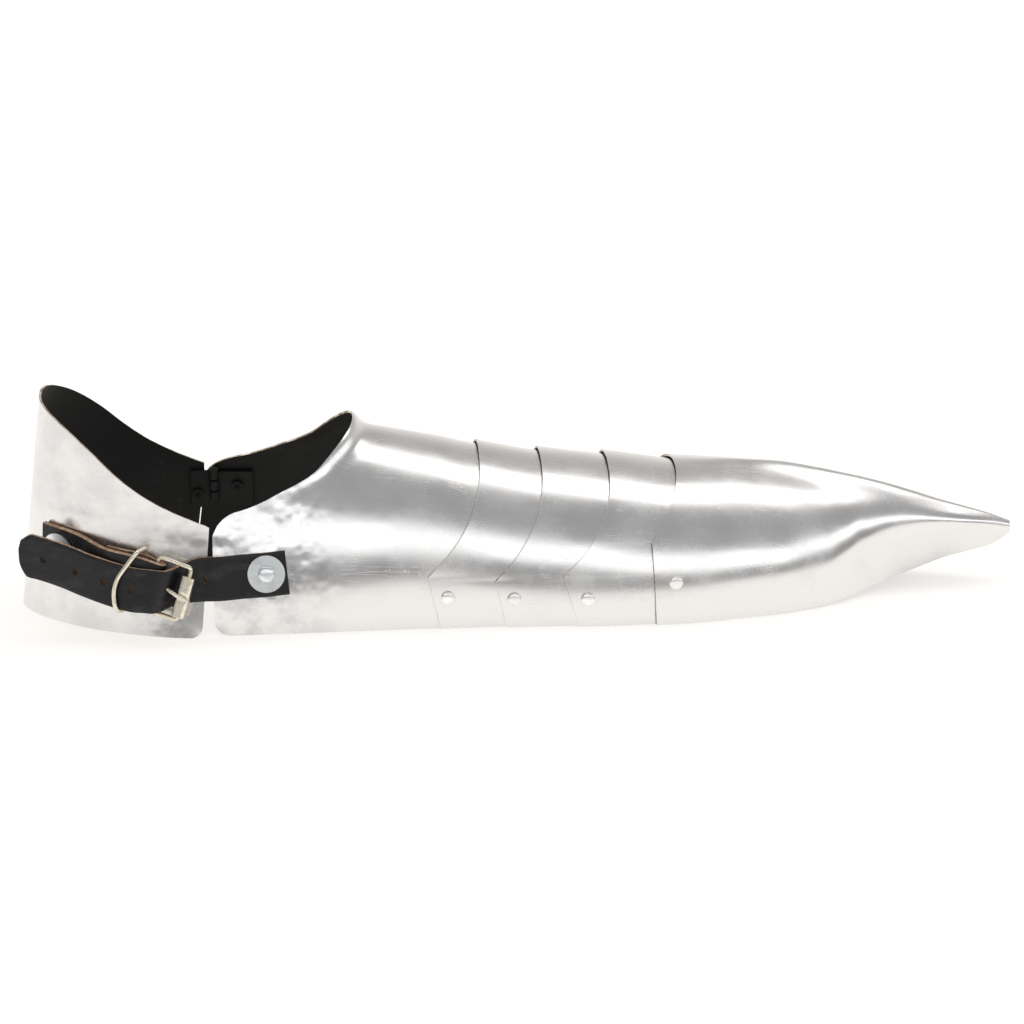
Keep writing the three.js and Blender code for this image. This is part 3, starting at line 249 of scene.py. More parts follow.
def new_group(name, inputs, outputs, kind="ShaderNodeTree"):
    """A node group with named inputs (name, kind, default) and outputs (name, kind)."""
    tree = bpy.data.node_groups.new(name, kind)
    for title, socket_kind, default in inputs:
        socket = tree.interface.new_socket(title, in_out="INPUT", socket_type=socket_kind)
        if default is not None:
            socket.default_value = default
    for title, socket_kind in outputs:
        tree.interface.new_socket(title, in_out="OUTPUT", socket_type=socket_kind)
    return tree, tree.nodes.new("NodeGroupInput"), tree.nodes.new("NodeGroupOutput")


# %% Brushing lines: noise drawn out along the way the metal was rubbed


def make_brushing_group():
    tree, given, put = new_group(
        "brushing_lines",
        [("Vector", "NodeSocketVector", None), ("Fineness", "NodeSocketFloat", 1.0)],
        [("Lines", "NodeSocketFloat"), ("Cloud", "NodeSocketFloat")],
    )
    scaled = add_node(tree, "ShaderNodeVectorMath", {0: given.outputs["Vector"]}, operation="SCALE")
    tree.links.new(given.outputs["Fineness"], scaled.inputs["Scale"])
    fine = noise(tree, stretched(tree, scaled.outputs[0], (24, 2400, 2400)), 1, 3, .6)
    broad = noise(tree, stretched(tree, scaled.outputs[0], (9, 420, 420)), 1, 2)
    tree.links.new(add_up(tree, times(tree, fine, .6), times(tree, broad, .4)), put.inputs["Lines"])
    tree.links.new(noise(tree, scaled.outputs[0], 38, 4, .62), put.inputs["Cloud"])
    return tree


brushing_group = make_brushing_group()

# %% Wear: scratches, specks and stains
HAIR_TURNS = ((.3, .5, .4), (1.1, .2, 1.9), (.7, 1.3, .9))
HAIR_SCALES = ((14, 900, 240), (16, 1100, 200), (11, 700, 260))


def make_wear_group():
    tree, given, put = new_group(
        "metal_wear",
        [("Vector", "NodeSocketVector", None), ("Speck Scale", "NodeSocketFloat", 900.0)],
        [("Scratches", "NodeSocketFloat"), ("Specks", "NodeSocketFloat"), ("Stains", "NodeSocketFloat")],
    )
    vector = given.outputs["Vector"]
    rubbed = spread(tree, noise(tree, vector, 30, 3), .50, .68)
    hairs = 0.0
    for turn, scale in zip(HAIR_TURNS, HAIR_SCALES):
        off_middle = calculate(tree, "SUBTRACT", noise(tree, stretched(tree, vector, scale, turn), 1, 0), .5)
        hair = spread(tree, calculate(tree, "ABSOLUTE", off_middle), .006, 0)
        hairs = calculate(tree, "MAXIMUM", hairs, hair)
    patchy = spread(tree, noise(tree, vector, 62, 2), .52, .66)
    tree.links.new(times(tree, hairs, patchy), put.inputs["Scratches"])
    cells = add_node(tree, "ShaderNodeTexVoronoi", {"Vector": vector, "Scale": given.outputs["Speck Scale"]})
    dots = spread(tree, cells.outputs["Distance"], .30, .14)
    draw = add_node(tree, "ShaderNodeSeparateColor", {0: cells.outputs["Color"]}).outputs[0]
    chosen = spread(tree, draw, .50, .62)
    tree.links.new(times(tree, times(tree, dots, chosen), rubbed), put.inputs["Specks"])
    tree.links.new(spread(tree, noise(tree, vector, 22, 5, .6), .60, .74), put.inputs["Stains"])
    return tree


wear_group = make_wear_group()
print("shader groups:", brushing_group.name, wear_group.name)

# %% The materials themselves


def new_material(name, roughness, metallic=0.0):
    material = bpy.data.materials.new(name)
    material.use_nodes = True
    tree = material.node_tree
    shader = tree.nodes["Principled BSDF"]
    shader.inputs["Roughness"].default_value = roughness
    shader.inputs["Metallic"].default_value = metallic
    place = add_node(tree, "ShaderNodeTexCoord").outputs["Object"]
    return material, tree, shader, place


def use_group(tree, group, **values):
    named = {key.replace("_", " "): value for key, value in values.items()}
    return add_node(tree, "ShaderNodeGroup", named, node_tree=group).outputs


def mix_colour(tree, mask, first, second):
    first, second = (c if isinstance(c, bpy.types.NodeSocket) else (*c, 1) for c in (first, second))
    return add_node(tree, "ShaderNodeMix", {0: mask, 6: first, 7: second}, data_type="RGBA").outputs[2]


def bump(tree, shader, height, distance):
    """Adds a bump under whatever already feeds the shader's normal."""
    node = add_node(tree, "ShaderNodeBump", {"Height": height, "Distance": distance, "Strength": 1.0})
    earlier = shader.inputs["Normal"].links
    if earlier:
        tree.links.new(earlier[0].from_socket, node.inputs["Normal"])
    tree.links.new(node.outputs[0], shader.inputs["Normal"])


# %% Bright steel for the outside of the plates


def make_bright_steel():
    material, tree, shader, place = new_material("bright_steel", .24, 1)
    lines = use_group(tree, brushing_group, Vector=place, Fineness=1.0)
    wear = use_group(tree, wear_group, Vector=place, Speck_Scale=620.0)
    clean = mix_colour(tree, lines["Cloud"], (.80, .785, .775), (.87, .865, .86))
    marked = mix_colour(tree, times(tree, wear["Stains"], .35), clean, (.70, .63, .55))
    along = parts_of(tree, place)[0]
    ankle = times(tree, spread(tree, along, -.112, -.072, 1, 0), spread(tree, along, -.140, -.132, .4, 1))
    cloudy = times(tree, spread(tree, noise(tree, place, 60, 4, .6), .40, .62), times(tree, ankle, .5))
    tree.links.new(mix_colour(tree, cloudy, marked, (.42, .43, .45)), shader.inputs["Base Color"])
    marks = add_up(tree, times(tree, wear["Scratches"], .08), times(tree, wear["Specks"], .18))
    brushed = times(tree, lines["Lines"], .10)
    rough = add_up(tree, spread(tree, lines["Cloud"], .3, .7, .15, .25), brushed, marks)
    tree.links.new(rough, shader.inputs["Roughness"])
    dented = calculate(tree, "SUBTRACT", noise(tree, place, 34, 3), .5)
    bump(tree, shader, times(tree, dented, ankle), .0034)
    bump(tree, shader, noise(tree, place, 22, 1), .00006)
    bump(tree, shader, lines["Lines"], .000012)
    bump(tree, shader, add_up(tree, wear["Scratches"], wear["Specks"]), -.000007)
    return material


bright_steel = make_bright_steel()

# %% Black paint for the inside of the plates and the hinge


def make_black_paint():
    material, tree, shader, place = new_material("black_paint", .6)
    shader.inputs["Specular IOR Level"].default_value = .2
    wear = use_group(tree, wear_group, Vector=place, Speck_Scale=420.0)
    cloud = noise(tree, place, 45, 5, .65)
    paint = mix_colour(tree, cloud, (.004, .004, .0038), (.011, .0105, .0095))
    dust = add_up(tree, times(tree, wear["Specks"], .06), times(tree, wear["Scratches"], .08))
    dusty = mix_colour(tree, dust, paint, (.22, .20, .18))
    tree.links.new(dusty, shader.inputs["Base Color"])
    tree.links.new(spread(tree, cloud, .3, .7, .48, .66), shader.inputs["Roughness"])
    bump(tree, shader, noise(tree, place, 900, 3), .00006)
    return material


black_paint = make_black_paint()

# %% The sheared edge of a plate: bare metal with a film of rust and leftover paint


def make_cut_edge():
    material, tree, shader, place = new_material("cut_edge", .38, .85)
    rust = spread(tree, noise(tree, place, 140, 4, .6), .42, .62)
    tree.links.new(mix_colour(tree, rust, (.74, .70, .64), (.40, .29, .20)), shader.inputs["Base Color"])
    tree.links.new(spread(tree, rust, 0, 1, .32, .55), shader.inputs["Roughness"])
    bump(tree, shader, noise(tree, place, 1800, 2), .00003)
    return material


cut_edge = make_cut_edge()

# %% Zinc for rivets and washers, and worn nickel for the buckle


def make_plated(name, dull, bright, tarnish, rough, speck_scale):
    material, tree, shader, place = new_material(name, rough, 1)
    lines = use_group(tree, brushing_group, Vector=place, Fineness=2.4)
    wear = use_group(tree, wear_group, Vector=place, Speck_Scale=speck_scale)
    cloud = spread(tree, noise(tree, place, 260, 4, .6), .32, .68)
    colour = mix_colour(tree, cloud, dull, bright)
    spots = spread(tree, noise(tree, place, 420, 3), .60, .72)
    tree.links.new(mix_colour(tree, times(tree, spots, .3), colour, tarnish), shader.inputs["Base Color"])
    cloudy = spread(tree, cloud, 0, 1, rough + .08, rough - .06)
    tree.links.new(add_up(tree, cloudy, times(tree, wear["Scratches"], .2)), shader.inputs["Roughness"])
    bump(tree, shader, add_up(tree, times(tree, lines["Lines"], .3), wear["Scratches"]), -.000008)
    return material


zinc = make_plated("zinc_plate", (.66, .70, .72), (.88, .90, .90), (.55, .55, .52), .34, 900.0)
rivet_steel = make_plated("rivet_steel", (.88, .87, .85), (.97, .965, .95), (.70, .66, .60), .30, 900.0)
nickel = make_plated("worn_nickel", (.74, .67, .53), (.90, .85, .74), (.42, .30, .18), .25, 1200.0)

# %% Black leather, with its grain, its raw edge and its flesh side


def make_leather():
    material, tree, shader, place = new_material("black_leather", .5)
    shader.inputs["Specular IOR Level"].default_value = .35
    pebbles = add_node(tree, "ShaderNodeTexVoronoi", {"Vector": place, "Scale": 1500.0}, feature="SMOOTH_F1")
    creases = noise(tree, stretched(tree, place, (420, 420, 90)), 1, 3, .6)
    scuffs = spread(tree, noise(tree, stretched(tree, place, (60, 60, 160)), 1, 5, .65), .52, .72)
    colour = mix_colour(tree, scuffs, (.008, .008, .009), (.030, .030, .033))
    tree.links.new(colour, shader.inputs["Base Color"])
    tree.links.new(spread(tree, scuffs, 0, 1, .38, .58), shader.inputs["Roughness"])
    bump(tree, shader, creases, .00016)
    bump(tree, shader, pebbles.outputs["Distance"], .00006)
    return material


def make_raw_leather(name, light, dark, scale):
    material, tree, shader, place = new_material(name, .78)
    fibres = noise(tree, stretched(tree, place, (scale * .25, scale * .25, scale)), 1, 5, .7)
    burnt = spread(tree, noise(tree, place, 120, 3), .45, .66)
    fibre_colour = mix_colour(tree, spread(tree, fibres, .35, .65), dark, light)
    tree.links.new(mix_colour(tree, times(tree, burnt, .7), fibre_colour, dark), shader.inputs["Base Color"])
    bump(tree, shader, fibres, .00018)
    return material


leather = make_leather()
raw_edge = make_raw_leather("raw_leather_edge", (.70, .48, .31), (.30, .18, .105), 1600)
flesh_side = make_raw_leather("leather_flesh_side", (.17, .11, .075), (.07, .045, .03), 900)
print("materials:", sorted(m.name for m in bpy.data.materials if m.users))

# %% [markdown]
# ## The plates
# Each plate is rolled sheet, 1 mm thick: bright outside, painted black inside, with a bare sheared edge. Two
# grids of points, one outside and one inside, are closed along their rims. The grid is fine enough that
# the reflections run smoothly, and a small bevel breaks the edge, which is where real steel catches light.

# %% From grids of points to a plate


def to_frame(points):
    return (np.asarray(points, float).reshape(-1, 3) + shift) * MM


def grid_quads(rows, columns, start=0, flip=False):
    i, j = np.meshgrid(np.arange(rows - 1), np.arange(columns - 1), indexing="ij")
    a = (start + i * columns + j).ravel()
    quads = np.stack([a, a + columns, a + columns + 1, a + 1], -1)
    return quads[:, ::-1] if flip else quads


def strip_quads(first, second):
    """Quads between two lines of point numbers."""
    first, second = np.asarray(first), np.asarray(second)
    return np.stack([first[:-1], first[1:], second[1:], second[:-1]], -1)


def new_object(name, data):
    made = bpy.data.objects.new(name, data)
    bpy.context.scene.collection.objects.link(made)
    return made


@contextmanager
def opened(mesh):
    """A mesh open for changes, written back at the end."""
    work = bmesh.new()
    work.from_mesh(mesh)
    yield work
    work.to_mesh(mesh)
    work.free()


def make_piece(name, points, groups, materials):
    """groups holds one list of faces for each material. Faces are turned outwards together."""
    mesh = bpy.data.meshes.new(name)
    faces = [tuple(int(v) for v in face) for group in groups for face in group]
    slots = [slot for slot, group in enumerate(groups) for _ in group]
    mesh.from_pydata([tuple(p) for p in to_frame(points)], [], faces)
    for material in materials:
        mesh.materials.append(material)
    mesh.polygons.foreach_set("material_index", slots)
    with opened(mesh) as work:
        bmesh.ops.remove_doubles(work, verts=work.verts, dist=1e-7)
        bmesh.ops.recalc_face_normals(work, faces=work.faces)
        for face in work.faces:
            face.smooth = True
        for edge in work.edges:
            edge.smooth = len({face.material_index for face in edge.link_faces}) < 2
    return new_object(name, mesh)


def place_piece(piece, body, slot, *nodes):
    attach(piece, body)
    if nodes:
        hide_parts(*nodes)
    print(f"{piece.name}: {len(piece.data.polygons)} faces, on {body}")
    return piece


def break_edge(piece, width=.2):
    """A small bevel along the sharp rims."""
    bevel = piece.modifiers.new("broken_edge", "BEVEL")
    bevel.width = width * MM
    bevel.segments = 2
    bevel.limit_method = "ANGLE"
    bevel.angle_limit = math.radians(50)
    bevel.harden_normals = True
    return piece


def sheet_piece(name, outer, inner, materials=None):
    rows, columns = outer.shape[:2]
    count = rows * columns
    number = np.arange(count).reshape(rows, columns)
    rims = [(number[0], number[0] + count), (number[-1] + count, number[-1])]
    rims += [(number[:, 0] + count, number[:, 0]), (number[:, -1], number[:, -1] + count)]
    rim = np.concatenate([strip_quads(a, b) for a, b in rims])
    groups = [grid_quads(rows, columns), grid_quads(rows, columns, count, True), rim]
    points = np.concatenate([outer.reshape(-1, 3), inner.reshape(-1, 3)])
    return make_piece(name, points, groups, materials or [bright_steel, black_paint, cut_edge])


def plate_grids(rows, columns, lift, thickness=sheet):
    """Both faces of a plate: the rows run up the buckle side, over the crest and down the hinge side."""
    row = np.concatenate([rows, rows[::-1][1:]])[:, None]
    side = np.concatenate([-np.ones(len(rows)), np.ones(len(rows) - 1)])[:, None]
    x = columns(row[:, 0], side[:, 0])
    row, side = np.broadcast_to(row, x.shape), np.broadcast_to(side, x.shape)
    point, normal = form_point(x, row, side), form_normal(x, row, side)
    outer = point + normal * lift(x, row)[..., None]
    inner = outer - normal * thickness
    floor = row[:, 0] == 0
    outer[floor, :, 2] = point[floor, :, 2]
    inner[floor, :, 2] = point[floor, :, 2]
    return outer, inner


def even_rows(roof_rows, skirt_rows, *extra):
    skirt = skirt_share * np.linspace(0, 1, skirt_rows) ** 1.6
    roof = np.linspace(skirt_share, 1, roof_rows)
    return np.unique(np.round(np.concatenate([skirt, roof, extra]), 9))


# %% [markdown]
# ### The vamp
# The vamp covers the instep. Its rear edge is upright at the side, with a rounded lower corner, and then
# sweeps up and forward round the ankle. There the smith has turned the edge out into a small lip, so that it
# doesn't bite. The rim is one smooth curve read from a short table, and the lip is a bell-shaped rise that
# follows it.

# %% Edges of the moving plates
LAME_COLUMNS = ("crest", "point", "point_up", "foot", "bend", "pivot", "pivot_up")
LAMES = {
    "lame_rear": (.3268, .2575, .256, .2726, 2.0, .2816, .156),
    "lame_middle": (.4039, .3400, .228, .3526, 2.0, .3619, .142),
    "lame_front": (.4869, .4224, .244, .4407, 2.0, .4508, .138),
    "toe_cap": (.5722, .5307, .378, .5346, 1.3, .5582, .208),
}
ORDER = list(LAMES)
overlap = 11.0
rivet_margin = 9.0
side_gap, crest_gap = .45, .9
cap_release = 30.0


def lame_sizes(name):
    """A lame's row in millimetres: what goes up follows the instep, the bend is a power."""
    scales = dict.fromkeys(LAME_COLUMNS, forefoot_length)
    scales.update(point_up=instep_height, pivot_up=instep_height, bend=1)
    return {column: share * scales[column] for column, share in zip(LAME_COLUMNS, LAMES[name])}


def rear_edge(name):
    lame = lame_sizes(name)
    crest_up = float(height_of(lame["crest"], 1))

    def at(height):
        t = np.clip((height - lame["point_up"]) / (crest_up - lame["point_up"]), 0, 1)
        bent = lame["point"] + (lame["crest"] - lame["point"]) * (1 - (1 - t) ** lame["bend"])
        straight = lame["foot"] + (lame["point"] - lame["foot"]) * height / lame["point_up"]
        return np.where(height < lame["point_up"], straight, bent)
    return at


def front_edge(name):
    """The hidden front edge of the plate under a moving plate."""
    lame = lame_sizes(name)
    crest, foot = lame["crest"] + overlap, lame["pivot"] + rivet_margin
    knee_up = lame["pivot_up"] + rivet_margin
    crest_up = float(height_of(crest, 1))

    def at(height):
        t = np.clip((height - knee_up) / (crest_up - knee_up), 0, 1)
        return foot + (crest - foot) * (1 - (1 - t) ** 2)
    return at


def full_lift(row):
    """One sheet and a little air: what a plate stands off where it lies on the plate behind it."""
    return sheet + side_gap + (crest_gap - side_gap) * row


def lame_lift(name):
    """Full at the rear edge and nothing at the next plate's, under which a lame sinks on at that slope."""
    rear, under = rear_edge(name), front_edge(name)
    if name == "toe_cap":
        def lift(x, row):
            height = height_of(x, row)
            return full_lift(row) * (1 - smooth_step(rear(height), under(height) + cap_release, x))
        return lift
    following = rear_edge(ORDER[ORDER.index(name) + 1])

    def lift(x, row):
        height = height_of(x, row)
        return full_lift(row) * (following(height) - x) / (following(height) - rear(height))
    return lift


def settle(edge, start, row):
    """The place along the form where an edge given by height crosses a row."""
    x = np.zeros_like(row) + start
    for _ in range(14):
        x = edge(height_of(x, row))
    return x


# %% The ankle opening and the vamp
OPENING_UP = (0, .142, .241, .283, .36, .445, .524, .623, .728, .85, .949, 1)
OPENING_ALONG = (0, .050, .135, .235, .367, .482, .605, .728, .811, .905, .974, 1)
opening_length = 61.0
opening_side_height = 43.0
corner_radius = 7.0
lip_rise, lip_breadth, lip_start, lip_full = 4.2, 4.5, .40, .95
far_split_back, far_split_blend, far_split_slant = 4.4, .35, .135
opening_rise = float(height_of(opening_length, 1)) - opening_side_height
sinking_from = 1.5


def opening_share(x, row):
    return (height_of(x, row) - opening_side_height) / opening_rise


def opening_edge(row):
    x = np.zeros_like(row)
    for _ in range(14):
        x = opening_length * read_table(OPENING_UP, OPENING_ALONG, opening_share(x, row))
    return x


def far_split(height):
    return -far_split_back - far_split_slant * np.maximum(opening_side_height - height, 0)


def vamp_rear(row, side):
    height = height_of(0, row)
    up = np.clip(opening_share(0, row), 0, 1)
    split = np.where(side < 0, 0, far_split(height) * (1 - smooth_step(0, far_split_blend, up)))
    dip = np.maximum(corner_radius - height, 0) / corner_radius
    return opening_edge(row) + split + corner_radius * (1 - np.sqrt(1 - dip ** 2))


def vamp_lift(x, row):
    rim = opening_edge(row)
    fade = smooth_step(lip_start, lip_full, opening_share(rim, row))
    lip = lip_rise * fade * np.exp(-((x - rim) / lip_breadth) ** 2)
    return lip + np.minimum(lame_lift("lame_rear")(x - sinking_from, row) - full_lift(row), 0)


def vamp_columns(row, side):
    start, end = vamp_rear(row, side), settle(front_edge("lame_rear"), 100.0, row)
    near = np.array([0, .4, .9, 1.5, 2.2, 3, 3.9, 4.9, 6, 7.5, 9.5])
    rest = np.linspace(0, 1, 90)[1:]
    room = end - start - near[-1]
    return start[:, None] + np.concatenate([near + 0 * start[:, None], near[-1] + room[:, None] * rest], 1)


outer, inner = plate_grids(even_rows(110, 14), vamp_columns, vamp_lift)
vamp = break_edge(sheet_piece("steel_vamp", outer, inner))
place_piece(vamp, "shoe", "steel", "vamp")

# %% [markdown]
# ### The lames
# A lame is a curved band, cut with a point on each side just above its rivet. It laps over the plate behind
# it, so its rear edge stands off by one sheet and a little air, and from there it slopes evenly back to the
# form and under the next one. An even slope keeps the reflections straight. It is the same for all three, so
# one loop makes them.

# %% Three lames


def corner_row(name):
    lame = lame_sizes(name)
    return float(row_at_height(lame["point"], lame["point_up"]))


def lame_columns(name):
    following = ORDER[ORDER.index(name) + 1]

    def columns(row, side):
        start = settle(rear_edge(name), lame_sizes(name)["point"], row)
        end = settle(front_edge(following), lame_sizes(following)["crest"], row)
        return start[:, None] + (end - start)[:, None] * np.linspace(0, 1, 46)
    return columns


for name in ORDER[:3]:
    rows = even_rows(120, 8, corner_row(name))
    outer, inner = plate_grids(rows, lame_columns(name), lame_lift(name))
    lame = break_edge(sheet_piece("steel_" + name, outer, inner))
    place_piece(lame, name, "steel", name)

# %% [markdown]
# ### The toe cap
# The cap starts as a broad vault and runs out into a long point with a medial ridge. The sheet ends in a
# solid tip, where the two sides meet and are filed together. The outside is one grid as far as the tip, the
# inside stops short of it, and a small wall and a closed underside finish the point.

# %% Toe cap
hollow_share = .962
tip_wall_share = .72
cap_rows = even_rows(116, 12, corner_row("toe_cap"))
hollow_end = forefoot_length * hollow_share


def cap_columns(row, side):
    start = settle(rear_edge("toe_cap"), lame_sizes("toe_cap")["point"], row)
    return start[:, None] + (hollow_end - start)[:, None] * np.linspace(0, 1, 100) ** .97


def tip_columns(row, side):
    return np.zeros((len(row), 1)) + forefoot_length * np.linspace(hollow_share, 1, 12)[1:]


def make_toe_cap():
    outer, inner = plate_grids(cap_rows, cap_columns, lame_lift("toe_cap"))
    tip = plate_grids(cap_rows, tip_columns, lambda x, row: 0 * x)[0]
    limit = np.abs(outer[:, -1, 1]) * tip_wall_share
    inner[..., 0] = np.minimum(inner[..., 0], hollow_end)
    inner[:, -1, 0] = hollow_end
    inner[:, -1, 1] = np.clip(inner[:, -1, 1], -limit, limit)
    outside = np.concatenate([outer, tip], 1)
    rows, wide = outside.shape[:2]
    deep = inner.shape[1]
    out = np.arange(rows * wide).reshape(rows, wide)
    back = rows * wide + np.arange(rows * deep).reshape(rows, deep)
    half = rows // 2
    last = deep - 1
    rims = [strip_quads(out[:, 0], back[:, 0]), strip_quads(out[0, :deep], back[0])]
    rims += [strip_quads(out[-1, :deep], back[-1])]
    wall = strip_quads(back[:half + 1, last], back[::-1, last][:half + 1])[:-1]
    top = [(back[half - 1, last], back[half, last], back[half + 1, last])]
    end = strip_quads(out[:half + 1, -1], out[::-1, -1][:half + 1])[:-1]
    end_top = [(out[half - 1, -1], out[half, -1], out[half + 1, -1])]
    under = [*strip_quads(out[0, last:], out[-1, last:])]
    under += [(out[0, last], out[-1, last], back[-1, last], back[0, last])]
    groups = [
        list(grid_quads(rows, wide)) + list(end) + end_top + under,
        list(grid_quads(rows, deep, rows * wide, True)) + list(wall) + top,
        np.concatenate(rims),
    ]
    points = np.concatenate([outside.reshape(-1, 3), inner.reshape(-1, 3)])
    return make_piece("steel_toe_cap", points, groups, [bright_steel, black_paint, cut_edge])


toe_cap = break_edge(make_toe_cap())
place_piece(toe_cap, "toe_cap", "steel", "toe_cap")

# %% [markdown]
# ### The heel plate
# The heel plate is a wall bent round the heel, high at the back, with a rim that dips to the split. Its plan
# is a rounded U that is wider at the floor. Going round it is a turn from 0 to 1, and going up it is a
# height, so this plate too is one grid.

# %% Heel plate
HEEL_RIM_BACK = (0, .03, .07, .22, .38, .52, .66, .81, .94, 1)
HEEL_RIM_UP = (-.045, -.010, .016, .125, .270, .440, .640, .823, .950, 1)
heel_height, heel_side_height, heel_lean = 95.0, 47.5, 11.0
heel_foot_half_width, heel_rim_half_width, heel_spread_height = 60.5, 49.5, 55.0
split_gap, split_slope, far_split_gap = 1.2, .09, .6
heel_corner = 5.0


def heel_size(height):
    spread_up = np.maximum(1 - height / heel_spread_height, 0) ** 1.5
    half = heel_rim_half_width + (heel_foot_half_width - heel_rim_half_width) * spread_up
    depth = heel_length - heel_lean * height / heel_height
    power = 1.70 + .80 * np.minimum(height / 50, 1)
    front = -split_gap - split_slope * np.maximum(heel_side_height - height, 0)
    return depth, half, power, front, far_split(height) - far_split_gap


def heel_point(turn, height, trim=0.0):
    turn, height = np.broadcast_arrays(np.asarray(turn, float), np.asarray(height, float))
    depth, half, power, front, far_front = heel_size(height)

    def angle_at(split):
        return np.arcsin(np.clip((trim - split) / depth, 0, 1) ** (power / 2))
    start = angle_at(front)
    angle = start + (np.pi - start - angle_at(far_front)) * turn
    side = np.cos(angle)
    x = -depth * np.sin(angle) ** (2 / power)
    return np.stack([x, -np.sign(side) * half * np.abs(side) ** (2 / power), height], -1)


def heel_normal(turn, height):
    high, low = np.minimum(turn + .004, 1), np.maximum(turn - .004, 0)
    around = heel_point(high, height) - heel_point(low, height)
    up = heel_point(turn, height + .5) - heel_point(turn, np.maximum(height - .5, 0))
    return unit(np.cross(up, around))


def heel_rim(turn):
    height = np.zeros_like(turn) + heel_side_height
    for _ in range(14):
        back = -heel_point(turn, height)[..., 0] / heel_size(height)[0]
        rise = read_table(HEEL_RIM_BACK, HEEL_RIM_UP, back)
        height = heel_side_height + (heel_height - heel_side_height) * rise
    return height


def heel_grids():
    t = np.linspace(-1, 1, 181)
    turn = (.5 + .5 * np.sign(t) * np.abs(t) ** .85)[:, None]
    top = heel_rim(turn)
    low = heel_corner * np.linspace(0, 1, 14) ** 2
    share = np.linspace(0, 1, 70)[1:]
    height = np.concatenate([low + 0 * top, heel_corner + (top - heel_corner) * share], 1)
    turn = np.broadcast_to(turn, height.shape)
    dip = np.maximum(heel_corner - height, 0) / heel_corner
    outer = heel_point(turn, height, heel_corner * (1 - np.sqrt(1 - dip ** 2)))
    inner = outer - heel_normal(turn, height) * sheet
    inner[:, 0, 2] = 0
    return outer, inner


heel_plate = break_edge(sheet_piece("steel_heel_plate", *heel_grids()))
place_piece(heel_plate, "shoe", "steel", "heel_plate")

# %% [markdown]
# ## Straps
# Both straps are 19 mm black leather. The finish is only a skin: a cut edge shows the tan inside of the hide,
# and the back is rough and brown. A strap is a thick ribbon swept along stations that stand off the wall,
# with a rounded section, so that its skin, its edges and its back are separate materials.

# %% Where the straps run
BILLET = (
    (-1.26, .76, .581, 0), (-.90, .76, .566, 0), (-.48, .76, .556, 0), (-.12, .92, .545, 0),
    (.16, .96, .533, .2), (.44, 1.08, .518, .8), (.62, 1.84, .493, 1), (.84, 4.40, .474, 1),
    (1.02, 4.72, .482, .8), (1.24, 4.64, .488, .3), (1.52, 4.48, .518, 0), (1.80, 4.32, .556, 0),
    (2.04, 4.04, .587, 0),
)
BILLET_END = (
    (.316, .189, .089, 1, 1), (.632, .326, .174, 1, 1), (.947, .432, .253, 1, 1), (1.158, .480, .305, 1, 1),
    (1.263, .500, .330, .84, 1), (1.389, .520, .360, .44, .82), (1.480, .530, .385, -.20, .62),
)
BUCKLE_STRAP = (
    (.836, .72, .749, 0), (.754, .72, .735, 0), (.702, .80, .718, 0), (.655, 1.12, .697, 0),
    (.596, 1.92, .665, 0), (.520, 2.88, .629, 0), (.444, 3.20, .604, 0), (.363, 3.32, .573, 0),
)
FOLD = ((.363, 1.48, .568), (.444, 1.70, .600), (.526, 1.70, .632))
KEEPER = (
    (.325, .805, .60, 2.6), (.343, .815, 5.80, 4.0), (.449, .510, 5.80, 7.0), (.428, .262, 5.80, 4.5),
    (.405, .268, .56, 2.6),
)
EMPTY_HOLES = (.12, 1.79, 2.33, 2.94, 3.65)
strap_width, strap_thickness = 19.0, 2.5
wire_radius, roller_radius, tongue_radius, hole_radius = 1.0, 2.8, .9, 1.5
frame_length, frame_height, frame_slant, frame_round = 15.0, 23.4, 2.0, 2.0
bar_back, bar_drop, bar_off = 25.0, 3.4, 5.75
buckle_tilt = math.radians(16)
tongue_back, tongue_slot, tongue_slot_out = 19.7, 5.2, 3.0
tongue_lift, tongue_dip = 1.4, 1.4
roller_slide, roller_room, roller_flatness = 1.2, 3.4, .86


def vamp_wall(x, height, side):
    row = row_at_height(x, height)
    return form_point(x, row, side), form_normal(x, row, side)


def heel_wall(back, height, side):
    """Before the heel plate's edge its wall runs straight on, along the shoe."""
    reach = .5 - heel_size(height)[3 if side < 0 else 4]
    low, high = 0.0, .5
    for _ in range(40):
        middle = (low + high) / 2
        if -heel_point(middle, height)[0] < max(back, reach):
            low = middle
        else:
            high = middle
    point = heel_point(low, height)
    if back < reach:
        point[0] = -back
    return point * (1, -side, 1), heel_normal(low, height) * (1, -side, 1)


def wall_frame(back, height):
    """Point and outward normal of the buckle side's wall, at a distance behind the split."""
    return vamp_wall(-back, height, -1) if back < 0 else heel_wall(back, height, -1)


def strap_stations(table, reach):
    """A row says how far behind the split (in reach), off the wall (in thicknesses) and up the middle lies,
    and how far it turns to the buckle. A station adds what is left of the breadth below and above."""
    stations = []
    for back, off, middle_up, slant in table:
        back, off, middle_up = back * reach, off * strap_thickness, middle_up * heel_side_height
        lean = wall_frame(back, middle_up)[1][2]
        point, normal = wall_frame(back, middle_up - off * lean)
        stations.append((point + normal * off, normal, slant, 1.0, 1.0))
    return stations


def find_buckle():
    point, out = wall_frame(bar_back, BUCKLE_STRAP[-1][2] * heel_side_height - bar_drop)
    level = unit(np.cross((0, 0, 1), out))
    level = level if level[0] > 0 else -level
    up = np.cross(out, level)
    along = level * math.cos(buckle_tilt) - up * math.sin(buckle_tilt)
    upright = up * math.cos(buckle_tilt) + level * math.sin(buckle_tilt)
    return point + out * bar_off, along, out, upright


bar_centre, buckle_along, buckle_out, buckle_upright = find_buckle()


def on_buckle(along, out, up):
    return bar_centre + buckle_along * along + buckle_out * out + buckle_upright * up


